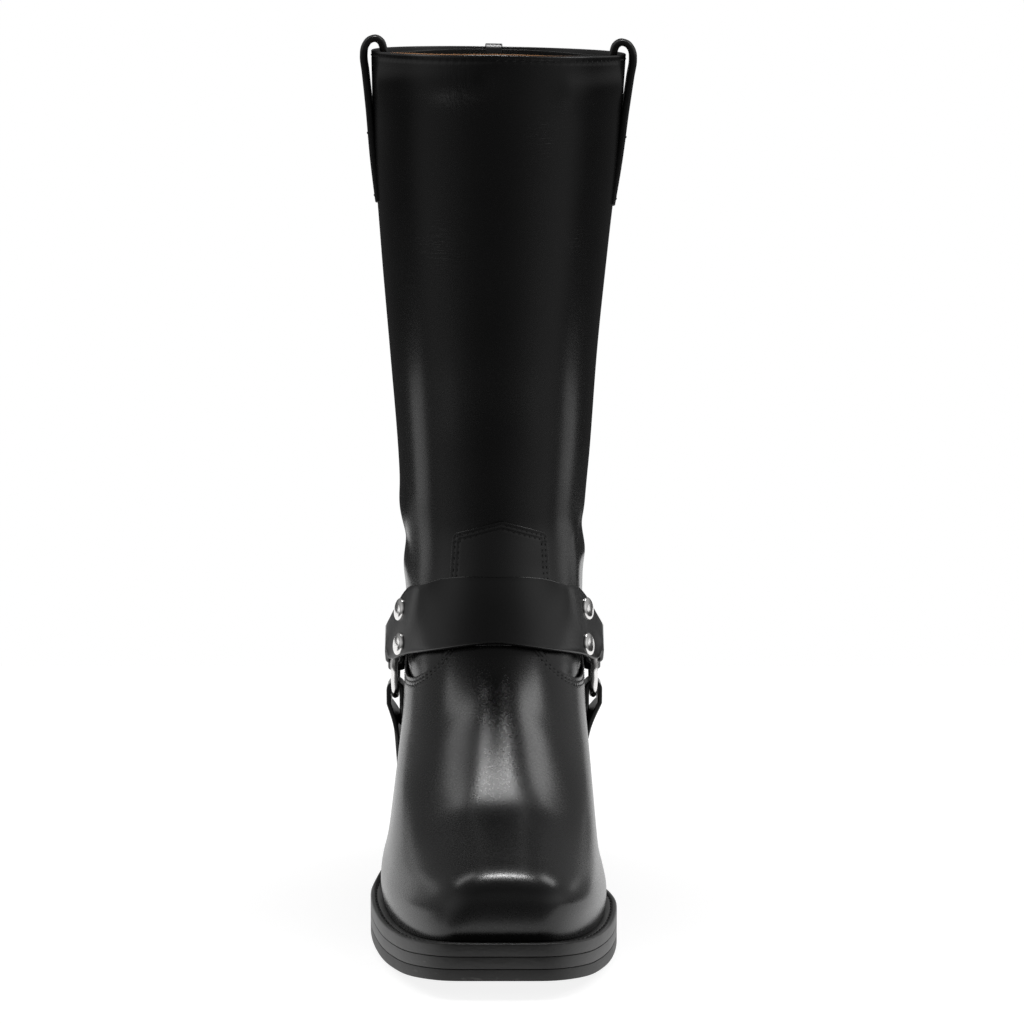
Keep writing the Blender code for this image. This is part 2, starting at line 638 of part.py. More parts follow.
def strap_between_rings(ring_ends, between):
    """A strap's middle surface from the lateral ring to the medial one: a fold, the rows between, a fold."""
    lateral, medial = ring_ends
    return np.concatenate([lateral[:0:-1], between, medial[1:]])


def folds(angle):
    """The two folded ends of a strap that leaves both rings at one angle."""
    return [ring_seats[name].fold(angle) for name in ("lateral", "medial")]


def leaning_row(side, foot, lean, half_width):
    """A straight cross row through foot whose upper end leans in by lean for each unit of height."""
    foot = np.array(foot) * (side, 1.0, 1.0)
    return foot + ACROSS[:, None] * half_width * unit([-side * lean, 0.0, 1.0])


def add_instep_strap(last):
    """The wide strap over the instep: it lies on the tongue and runs clear of the ankle to both rings."""
    share = np.linspace(-INSTEP_CONTACT, INSTEP_CONTACT, 5)[:, None]
    middle = INSTEP_V - INSTEP_DROP * (share / INSTEP_CONTACT) ** 2
    half_width = INSTEP_HALF_WIDTH + INSTEP_SPREAD * np.abs(share)
    stand = STRAP_CLEAR + TONGUE_PROUD + STRAP_THICKNESS / 2
    on_foot = last.at(0.5 + share / 2, middle + ACROSS * half_width, stand)
    ends = folds(INSTEP_ANGLE)
    free = {}
    for s in (-1, 1):
        bridge = leaning_row(s, INSTEP_BRIDGE, INSTEP_LEAN, INSTEP_HALF_WIDTH)
        rivets = leaning_row(s, RIVET_MIDDLE, INSTEP_LEAN, INSTEP_HALF_WIDTH)
        free[s] = [bridge, rivets]
    rows = [ends[0][0], *free[-1][::-1], *on_foot, *free[1], ends[1][0]]
    between = through_softly(rows, INSTEP_ROWS)
    middle = strap_between_rings(ends, between)
    add_strap("instep_strap", middle, STRAP_THICKNESS, strap_leather)
    add_rivets(between)


def add_rivets(strap_rows):
    """Four dome rivets on the instep strap's ends, each standing on the strap's outer face."""
    fine = through(strap_rows, FINE_ROWS)
    fine = np.stack([through(row[:, None, :], FINE_COLUMNS)[:, 0] for row in fine])
    normal = unit(np.cross(np.gradient(fine, axis=0), np.gradient(fine, axis=1)))
    normal = normal * np.sign(-normal[FINE_ROWS // 2, FINE_COLUMNS // 2, 1])
    for name, side in (("lateral", -1), ("medial", 1)):
        for place in RIVET_PLACES:
            off = (fine[..., 1] - place.y) ** 2 + (fine[..., 2] - place.z) ** 2
            at = np.unravel_index(np.argmin(np.where(fine[..., 0] * side > 0, off, np.inf)), off.shape)
            axis = normal[at]
            near = np.linalg.norm(fine - fine[at], axis=2) < RIVET_RADIUS + RIVET_RIM
            rise = ((fine[near] - fine[at]) @ axis).max()
            foot = fine[at] + axis * (rise + STRAP_THICKNESS / 2 + RIVET_GAP)
            add_dome("rivet_" + name + "_" + place.name, foot, axis)


def add_dome(name, foot, axis):
    """A shallow dome turned round its axis, with a short straight rim and a flat foot."""
    bend = np.linspace(np.pi / 2, 0.0, 6)
    x = np.concatenate([RIVET_RADIUS * np.cos(bend), [RIVET_RADIUS, 0.0]])
    z = np.concatenate([RIVET_RIM + RIVET_DOME * np.sin(bend), [0.0, 0.0]])
    x[0] = 0.0
    profile = np.stack([x, np.zeros_like(x), z], axis=1) * MM
    mesh = bpy.data.meshes.new(name)
    mesh.from_pydata(profile.tolist(), [(i, i + 1) for i in range(len(profile) - 1)], [])
    mesh.materials.append(chrome)
    dome = bpy.data.objects.new(name, mesh)
    dome.location = foot * MM
    dome.rotation_euler = Vector(axis).to_track_quat("Z", "Y").to_euler()
    turn = dome.modifiers.new("turn", "SCREW")
    turn.steps = RIVET_SEGMENTS
    turn.render_steps = RIVET_SEGMENTS
    turn.use_merge_vertices = True
    turn.merge_threshold = 0.00001
    parts.objects.link(dome)


def add_heel_strap(last):
    """The strap from ring to ring behind the heel, lying on the counter."""
    stand = STRAP_CLEAR + STRAP_THICKNESS / 2
    ends = folds(HEEL_STRAP_ANGLE)
    rows = [ends[0][0]]
    for turn in np.linspace(-HEEL_STRAP_REACH, HEEL_STRAP_REACH, 13):
        share = 1 - abs(turn)
        side = -1 if turn < 0 else 1
        back = ease(0.5, 1.0, share)
        height = RING_Z + HEEL_STRAP_RISE * back
        half_width = HEEL_STRAP_HALF_WIDTH * ease(0.3, 0.8, share)
        rows.append(last.level(0.5 + side * share / 2, height - ACROSS * half_width, stand))
    between = through_softly([*rows, ends[1][0]], HEEL_STRAP_ROWS)
    add_strap("heel_strap", strap_between_rings(ends, between), STRAP_THICKNESS, strap_leather)


def add_sole_strap(last):
    """The stirrup strap: down from each ring, past the welt's edge and under the arch."""
    y = SOLE_STRAP_Y - ACROSS * SOLE_STRAP_HALF_WIDTH
    under = tread(y)
    stand = STRAP_CLEAR + STRAP_THICKNESS / 2
    ends = dict(zip((-1, 1), folds(SOLE_STRAP_ANGLE)))
    sides = {}
    for side in (-1, 1):
        edge_x, edge_y = half_outline(SOLE_OUTLINE, side, BALL_SKEW)
        edge = np.abs(np.interp(-y, -edge_y, edge_x))
        rows = []
        for height, extra in SOLE_STRAP_HANG:
            beside = np.array([abs(last.beside(side, at_y, height)) for at_y in y])
            rows.append((np.maximum(beside, edge) + stand + extra, np.full(len(ACROSS), height)))
        rows.append((edge + stand, under + SEAT_RISE))
        hanging = [np.stack([side * x, y, z], axis=1) for x, z in rows]
        hang = through_softly([ends[side][0], *hanging], HANG_ROWS)
        corner = []
        for bend in np.radians((0.0, 22.5, 45.0, 67.5, 90.0)):
            x = edge + stand * np.cos(bend)
            z = under - stand * np.sin(bend)
            corner.append(np.stack([side * x, y, z], axis=1))
        sides[side] = np.concatenate([hang, corner])
    sole = [np.stack([x * edge, y, under - stand], axis=1) for x in np.linspace(-0.67, 0.67, 5)]
    between = np.concatenate([sides[-1], sole, sides[1][::-1]])
    middle = strap_between_rings((ends[-1], ends[1]), between)
    add_strap("sole_strap", middle, STRAP_THICKNESS, strap_leather)


def add_pull_strap(name, last, side):
    """A pull strap: sewn flat on the shaft, up clear of it, over the collar and down the inside."""
    u_middle, _ = last.nearest(side, PULL_Y, PULL_Z)
    u = u_middle + ACROSS * PULL_HALF_WIDTH / (2 * last.half_girth(COLLAR_V))
    path = np.array([(0.0, p.out, p.rise) for p in PULL_PATH])
    path = through(path[:, None, :], PULL_ROWS)[:, 0, 1:]
    ahead = unit(np.gradient(path, axis=0))
    normal = np.stack([ahead[:, 1], -ahead[:, 0]], axis=1)
    faces = []
    for sign in (1, -1):
        out, rise = (path + sign * normal * PULL_THICKNESS / 2).T
        faces.append(last.at(u, COLLAR_V + rise[:, None], out[:, None]))
    add_band(name, faces[0], faces[1], strap_leather)


def add_ring(name, seat_of_ring):
    """A round wire ring lying against the ankle."""
    bpy.ops.mesh.primitive_torus_add(
        major_radius=RING_RADIUS * MM,
        minor_radius=RING_WIRE * MM,
        major_segments=RING_SEGMENTS,
        minor_segments=WIRE_SEGMENTS,
        location=tuple(seat_of_ring.centre * MM),
        rotation=Vector(seat_of_ring.out).to_track_quat("Z", "Y").to_euler(),
    )
    ring = bpy.context.object
    ring.name = name
    ring.data.shade_smooth()
    ring.data.materials.append(chrome)
    for collection in list(ring.users_collection):
        collection.objects.unlink(ring)
    parts.objects.link(ring)


for item in list(bpy.data.objects):
    bpy.data.objects.remove(item)
parts = bpy.data.collections.new("harness_boot")
cutters = bpy.data.collections.new("joined_shapes")
bpy.context.scene.collection.children.link(parts)
bpy.context.scene.collection.children.link(cutters)
leather = add_material("black_leather", (0.012, 0.012, 0.013), 0.32)
stack_leather = add_material("stack_leather", (0.014, 0.013, 0.012), 0.45)
rubber = add_material("black_rubber", (0.016, 0.016, 0.016), 0.55)
board = add_material("insole_board", (0.42, 0.27, 0.15), 0.7)
strap_leather = add_material("strap_leather", (0.013, 0.013, 0.014), 0.36)
chrome = add_material("chrome", (0.8, 0.8, 0.82), 0.12, 1.0)

add_plate("outsole", sole_rails(SOLE_OUTLINE, 0.0, OUTSOLE_HEIGHT), rubber)
add_plate("midsole", sole_rails(SOLE_OUTLINE, MIDSOLE_FOOT, MIDSOLE_FOOT + MIDSOLE_HEIGHT), stack_leather)
add_welt()
insole_outline = inset_outline(RINGS[0], INSOLE_INSET)
add_plate("insole", sole_rails(insole_outline, WELT_FOOT, SEAT_RISE + INSOLE_STAND), board)
add_heel()
boot = Last()
add_upper(boot)
ring_seats = {"lateral": RingSeat(boot, -1), "medial": RingSeat(boot, 1)}
for side_name, ring_seat in ring_seats.items():
    add_ring("ring_" + side_name, ring_seat)
add_instep_strap(boot)
add_heel_strap(boot)
add_sole_strap(boot)
add_pull_strap("pull_strap_lateral", boot, -1)
add_pull_strap("pull_strap_medial", boot, 1)
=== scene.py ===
# %% [markdown]
# # Dressing a harness boot
#
# The part is an assembly of plain, faceted solids: sole layers, a hollow upper, straps, rings and
# rivets. This lesson turns them into the boot of the photograph, in smooth black leather with soft
# creases, turned edges and stitches, a waxed sole edge and bright metal. Each solid stays where it is
# and keeps its size. A finer surface, worked out with numpy from named sizes, stands for it in the
# picture. It could be sculpted by hand instead, but then no size could be read or changed later.

from collections import namedtuple

import bpy
import numpy as np
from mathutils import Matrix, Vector


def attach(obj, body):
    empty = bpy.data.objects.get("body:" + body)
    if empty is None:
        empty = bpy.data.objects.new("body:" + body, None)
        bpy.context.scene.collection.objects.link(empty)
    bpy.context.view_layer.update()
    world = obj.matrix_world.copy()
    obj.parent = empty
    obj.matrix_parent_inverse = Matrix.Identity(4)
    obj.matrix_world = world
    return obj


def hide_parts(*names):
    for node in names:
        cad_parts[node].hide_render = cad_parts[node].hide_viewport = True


MM = 0.001
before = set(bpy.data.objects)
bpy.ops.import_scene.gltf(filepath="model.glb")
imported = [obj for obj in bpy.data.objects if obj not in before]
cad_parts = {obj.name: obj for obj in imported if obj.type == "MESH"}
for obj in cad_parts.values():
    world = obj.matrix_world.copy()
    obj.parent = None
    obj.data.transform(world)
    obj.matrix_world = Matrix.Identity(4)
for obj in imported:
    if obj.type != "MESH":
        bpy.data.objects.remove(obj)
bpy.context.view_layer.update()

# %% [markdown]
# ## The photograph's view
#
# The camera stands in front of the toe, a little higher than the collar, and looks slightly down. It
# could be moved by eye until the picture looks right. Here the distance, height, tilt and focal length
# were fitted to the collar's ellipse and the width of the sole, so that the perspective is right too.
# The boot stands a little left of the picture's middle, which is a small shift of the lens.

# %% Camera
CAMERA_BACK = 1500.0
CAMERA_HEIGHT = 400.0
CAMERA_TILT = 8.9
FOCAL_PIXELS = 3680.0
PICTURE_PIXELS = 1024.0
BOOT_MIDDLE_PIXEL = 493.7
SENSOR = 36.0


def add_object(name, data):
    """Puts a camera, a light or a mesh into the scene as an object of that name."""
    added = bpy.data.objects.new(name, data)
    bpy.context.scene.collection.objects.link(added)
    return added


lens = bpy.data.cameras.new("photo_view")
lens.sensor_width = SENSOR
lens.lens = FOCAL_PIXELS / PICTURE_PIXELS * SENSOR
lens.shift_x = 0.5 - BOOT_MIDDLE_PIXEL / PICTURE_PIXELS
lens.clip_end = 200.0
camera = add_object("photo_view", lens)
camera.location = (0.0, -CAMERA_BACK * MM, CAMERA_HEIGHT * MM)
camera.rotation_euler = (np.radians(90.0 - CAMERA_TILT), 0.0, 0.0)
bpy.context.scene.camera = camera
print("camera: %.1f mm lens at %.2f m" % (lens.lens, CAMERA_BACK * MM))

# %% [markdown]
# ## Curves through a few named sizes
#
# A shoemaker's last is described by a few girths and heights. Between them the surface has to be smooth and
# must not bulge where no size says so. A cubic curve whose slopes are harmonic means of the neighbouring
# chords never overshoots, and a short running mean takes off what is left of each corner.


# %% Smooth curves
def cubic(values, slopes, piece, step, t):
    """Cubic pieces between values with a slope at each: t runs from 0 to 1 along a piece of length step."""
    start = values[piece] * (1 + 2 * t) * (1 - t) ** 2 + slopes[piece] * step * t * (1 - t) ** 2
    end = values[piece + 1] * t**2 * (3 - 2 * t) - slopes[piece + 1] * step * t**2 * (1 - t)
    return start + end


def curve_through(knots, values, at):
    """A curve that never overshoots its knots: each slope is the harmonic mean of its two chords."""
    knots = np.asarray(knots, float)
    values = np.asarray(values, float)
    step = np.diff(knots)
    chord = np.diff(values) / step
    slope = np.zeros_like(values)
    slope[0] = chord[0]
    slope[-1] = chord[-1]
    product = chord[:-1] * chord[1:]
    total = np.where(product > 0, chord[:-1] + chord[1:], 1.0)
    slope[1:-1] = np.where(product > 0, 2 * product / total, 0.0)
    at = np.clip(at, knots[0], knots[-1])
    piece = np.clip(np.searchsorted(knots, at, side="right") - 1, 0, len(step) - 1)
    t = (at - knots[piece]) / step[piece]
    return cubic(values, slope, piece, step[piece], t)


def ease(low, high, at):
    """Zero below low, one above high, with a level start and end: 3 t squared less 2 t cubed."""
    t = np.clip((at - low) / (high - low), 0.0, 1.0)
    return t * t * (3 - 2 * t)


SOFTEN_REACH = 5


def soften(values):
    """A running mean over SOFTEN_REACH values each way, weighted to the middle. Both ends keep theirs."""
    window = np.hanning(2 * SOFTEN_REACH + 3)[1:-1]
    before = 2 * values[0] - values[SOFTEN_REACH:0:-1]
    after = 2 * values[-1] - values[-2 : -SOFTEN_REACH - 2 : -1]
    return np.convolve(np.concatenate([before, values, after]), window / window.sum(), mode="valid")


def unit(vector):
    """A vector, or an array of them, scaled to length one."""
    vector = np.asarray(vector, float)
    return vector / np.linalg.norm(vector, axis=-1, keepdims=True)


def run_along(points):
    """Length along a line of points, from its first point to each."""
    return np.concatenate([[0.0], np.cumsum(np.linalg.norm(np.diff(points, axis=0), axis=1))])


# %% [markdown]
# ## The sole's line and the rings of the last
#
# A last is the form that a boot is built on. Nearly all sizes are the solids' own, in millimetres, and
# a few were moved a little to follow the photograph: the toe points to -Y, the little toe side is -X
# and the floor is z = 0. The sole's tread runs level under the ball, lifts under the arch and meets the
# heel. Over it stand rings, level or tilted outlines of the upper, from the feather line at the welt to
# the collar.

# %% Sizes of the sole and the last
TOE_Y = -141.0
HEEL_Y = 141.0
LAYER_GAP = 0.45
OUTSOLE_HEIGHT = 4.45
MIDSOLE_HEIGHT = 4.45
WELT_HEIGHT = 5.0
MIDSOLE_FOOT = OUTSOLE_HEIGHT + LAYER_GAP
WELT_FOOT = MIDSOLE_FOOT + MIDSOLE_HEIGHT + LAYER_GAP
SEAT_RISE = WELT_FOOT + WELT_HEIGHT + LAYER_GAP
TreadPoint = namedtuple("TreadPoint", "y z")
TREAD = (
    TreadPoint(-141.0, 6.0),
    TreadPoint(-113.0, 1.6),
    TreadPoint(-85.0, 0.0),
    TreadPoint(-35.0, 0.0),
    TreadPoint(5.0, 7.0),
    TreadPoint(40.0, 21.5),
    TreadPoint(72.0, 33.0),
    TreadPoint(105.0, 36.5),
    TreadPoint(141.0, 38.0),
)


def tread(y):
    """Height of the sole's underside at y."""
    return curve_through([p.y for p in TREAD], [p.z for p in TREAD], y)


def seat(y):
    """Height of the feather line, where the upper stands on the welt."""
    return tread(y) + SEAT_RISE


Ring = namedtuple(
    "Ring",
    "front_y front_z back_y back_z ball_lateral ball_medial waist_lateral waist_medial"
    " heel_lateral heel_medial ball_at heel_at taper nose tail",
)
TOE_SEAT = seat(-134.5)
HEEL_SEAT = seat(136.5)
RINGS = (
    Ring(-134.5, TOE_SEAT, 136.5, HEEL_SEAT, 45.0, 44.6, 35.0, 29.5, 31.0, 31.0, 0.31, 0.85, 0.46, 8.0, 2.4),
    Ring(-135.4, 28.0, 138.2, 58.0, 46.0, 45.4, 36.4, 32.0, 32.8, 32.8, 0.31, 0.845, 0.46, 7.0, 2.4),
    Ring(-134.8, 37.0, 139.2, 64.0, 45.2, 44.2, 37.2, 34.4, 34.2, 34.2, 0.30, 0.84, 0.40, 5.6, 2.4),
    Ring(-130.0, 43.6, 139.4, 69.0, 43.2, 42.2, 37.6, 36.2, 35.0, 35.0, 0.29, 0.835, 0.38, 5.0, 2.4),
    Ring(-119.0, 47.9, 139.2, 72.5, 42.0, 41.4, 37.7, 36.9, 35.3, 35.3, 0.295, 0.83, 0.38, 4.2, 2.37),
    Ring(-78.0, 62.8, 138.2, 81.5, 39.2, 39.6, 38.0, 38.2, 35.8, 35.8, 0.33, 0.81, 0.30, 2.5, 2.3),
    Ring(-54.0, 75.0, 136.8, 89.0, 38.0, 38.6, 37.5, 38.0, 35.8, 35.8, 0.37, 0.79, 0.20, 2.35, 2.25),
    Ring(-34.0, 87.0, 134.8, 97.5, 37.8, 38.4, 37.5, 38.0, 35.6, 35.6, 0.39, 0.77, 0.12, 2.25, 2.2),
    Ring(-14.0, 103.5, 131.8, 109.0, 37.7, 38.2, 37.5, 38.0, 35.6, 35.6, 0.41, 0.74, 0.06, 2.2, 2.15),
    Ring(0.0, 122.0, 129.0, 122.0, 37.8, 38.2, 37.6, 38.0, 36.0, 36.0, 0.43, 0.70, 0.02, 2.15, 2.1),
    Ring(8.5, 140.0, 126.8, 137.0, 38.0, 38.3, 37.9, 38.1, 36.8, 36.8, 0.45, 0.65, 0.0, 2.1, 2.1),
    Ring(12.8, 160.0, 125.5, 155.0, 39.7, 39.1, 39.6, 39.0, 39.2, 38.8, 0.48, 0.57, 0.0, 2.1, 2.1),
    Ring(13.0, 186.0, 125.0, 182.0, 41.2, 41.4, 41.2, 41.4, 41.2, 41.4, 0.5, 0.5, 0.0, 2.1, 2.1),
    Ring(9.0, 226.0, 125.4, 224.0, 44.4, 44.2, 44.4, 44.2, 44.4, 44.2, 0.5, 0.5, 0.0, 2.1, 2.1),
    Ring(3.0, 271.0, 126.4, 270.0, 48.0, 48.6, 48.0, 48.6, 48.0, 48.6, 0.5, 0.5, 0.0, 2.1, 2.1),
    Ring(-5.0, 316.0, 127.6, 316.0, 50.8, 53.3, 50.8, 53.3, 50.8, 53.3, 0.5, 0.5, 0.0, 2.1, 2.1),
    Ring(-12.0, 352.6, 128.5, 352.6, 51.5, 55.6, 51.5, 55.6, 51.5, 55.6, 0.5, 0.5, 0.0, 2.1, 2.1),
)
FRONT_LINE = np.array([(ring.front_y, ring.front_z) for ring in RINGS])
FRONT_RUN = run_along(FRONT_LINE)
TOE_RUN = 101.8
TOE_RING = 6
BEYOND_TOE = FRONT_RUN - FRONT_RUN[TOE_RING]
TOE_STRETCH = TOE_RUN / FRONT_RUN[TOE_RING]
RING_KNOTS = TOE_RUN + np.where(BEYOND_TOE < 0, BEYOND_TOE * TOE_STRETCH, BEYOND_TOE)
TOE_FACE_V, TOE_TOP_V, VAMP_V, LEVEL_V = RING_KNOTS[3:7]
SKEW_V = RING_KNOTS[8]
COLLAR_V = RING_KNOTS[-1]
TOE_CROWN = 0.006
CROWN_BACK_Y = -20.0
CROWN_X = 4.0
RIDGE_LEAN = 3.5
LEAN_BACK_Y = -70.0
BALL_SKEW = 10.0
TOE_SHIFT = 2.0
RIM_TILT = 0.016
SOLE_OUTLINE = RINGS[0]._replace(
    front_y=TOE_Y,
    back_y=HEEL_Y,
    ball_lateral=50.2,
    ball_medial=49.6,
    waist_lateral=38.8,
    waist_medial=33.2,
    heel_lateral=34.6,
    heel_medial=34.6,
    ball_at=0.33,
)
print("front line from feather to collar: %.0f mm" % COLLAR_V)

# %% [markdown]
# ## The last as a surface
#
# Each ring is drawn as two half outlines, because a shoe's inner and outer side differ. A rough cage
# with a Subdivision Surface could give such a form as well. Here the whole surface is worked out once
# on a fine grid, because every later piece can then be placed on it by two numbers: u, the share of the
# way round (0 at the back, a quarter on the little toe side, a half in front), and v, the length along
# the front line.

# %% Outlines
END_POINTS = 300
MIDDLE_POINTS = 120


def half_outline(ring, side, skew):
    """One side of an outline from heel to toe: a rounded heel end, smooth steps to the waist and the ball,
    then a toe that tapers with the square of its length and ends as bluntly as the nose says."""
    lateral = side < 0
    ball = ring.ball_lateral if lateral else ring.ball_medial
    waist = ring.waist_lateral if lateral else ring.waist_medial
    heel = ring.heel_lateral if lateral else ring.heel_medial
    length = ring.back_y - ring.front_y
    ball_y = ring.front_y + ring.ball_at * length - side * skew
    heel_y = ring.front_y + ring.heel_at * length
    end = 1 - np.linspace(1.0, 0.0, END_POINTS) ** 4
    heel_end = end[::-1]
    heel_width = heel * (1 - heel_end**ring.tail) ** (1 / ring.tail)
    middle = np.linspace(0.0, 1.0, MIDDLE_POINTS)[1:-1]
    to_waist = heel + (waist - heel) * ease(0.0, 0.5, middle)
    middle_width = to_waist + (ball - waist) * ease(0.5, 1.0, middle)
    toe_width = ball * (1 - ring.taper * end**2) * (1 - end**ring.nose) ** (1 / ring.nose)
    heel_run = heel_y + heel_end * (ring.back_y - heel_y)
    middle_run = heel_y + middle * (ball_y - heel_y)
    toe_run = ball_y + end * (ring.front_y - ball_y)
    y = np.concatenate([heel_run, middle_run, toe_run], axis=-1)
    toe_share = np.clip((ball_y - y) / (ball_y - ring.front_y), 0.0, 1.0)
    shift = TOE_SHIFT * skew / BALL_SKEW * toe_share**2
    x = side * np.concatenate([heel_width, middle_width, toe_width], axis=-1) + shift
    return x, y


def even_points(x, y, count):
    """Points at even distances along a line, both ends included."""
    run = run_along(np.stack([x, y], axis=1))
    at = np.linspace(0.0, run[-1], count)
    return np.interp(at, run, x), np.interp(at, run, y)


def closed_outline(left, right, half_count):
    """One closed line of 2 * half_count points from two halves: out along the left, back on the right."""
    left = even_points(*left, half_count + 1)
    right = even_points(*right, half_count + 1)
    return [np.concatenate([a[:-1], b[:0:-1]]) for a, b in zip(left, right)]


def rings_along(v):
    """The rings at heights v: each column of the table read as a smooth curve and softened."""
    fine = np.arange(0.0, COLLAR_V + 1.0, 1.0)
    columns = [soften(curve_through(RING_KNOTS, column, fine)) for column in np.array(RINGS).T]
    return Ring(*(np.interp(v, fine, column)[:, None] for column in columns))


FRONT_BLUR = 7
FRONT_REACH = 0.07


def blur_round(values, reach):
    """Values round a closed line, each replaced by a mean of its neighbours under a bell curve."""
    shifts = np.arange(-2 * reach, 2 * reach + 1)
    weights = np.exp(-((shifts / reach) ** 2))
    weights = weights / weights.sum()
    return sum(np.roll(values, shift, axis=-1) * weight for shift, weight in zip(shifts, weights))


def round_off_front(values, v):
    """Values round each ring, blurred along it near the front line, where its two halves meet in a flat
    spot. The blunt toe keeps its own shape."""
    blurred = blur_round(values, FRONT_BLUR)
    share = np.abs(2 * np.arange(values.shape[1]) / values.shape[1] - 1)
    blend = np.exp(-((share / FRONT_REACH) ** 2)) * ease(TOE_FACE_V, VAMP_V, v)[:, None]
    return values + (blurred - values) * blend


SwellPoint = namedtuple("SwellPoint", "y height")
SWELL = (
    SwellPoint(-122.0, 0.0),
    SwellPoint(-98.0, -1.1),
    SwellPoint(-80.0, -2.3),
    SwellPoint(-72.0, -1.45),
    SwellPoint(-60.0, 0.1),
    SwellPoint(-48.0, 1.5),
    SwellPoint(-41.0, 2.2),
    SwellPoint(-37.0, 2.35),
    SwellPoint(-26.0, 1.45),
    SwellPoint(-4.0, 0.0),
)
SWELL_WIDTH = 24.0


def vamp_swell(x, y):
    """Height of two soft forms on the vamp's middle, a hollow behind the toe and a swell before the instep:
    a smooth curve along the foot, times a bell curve across it."""
    fine = np.arange(SWELL[0].y, SWELL[-1].y + 1.0)
    along = soften(curve_through([p.y for p in SWELL], [p.height for p in SWELL], fine))
    return np.interp(y, fine, along) * np.exp(-(((x - TOE_SHIFT) / SWELL_WIDTH) ** 2))


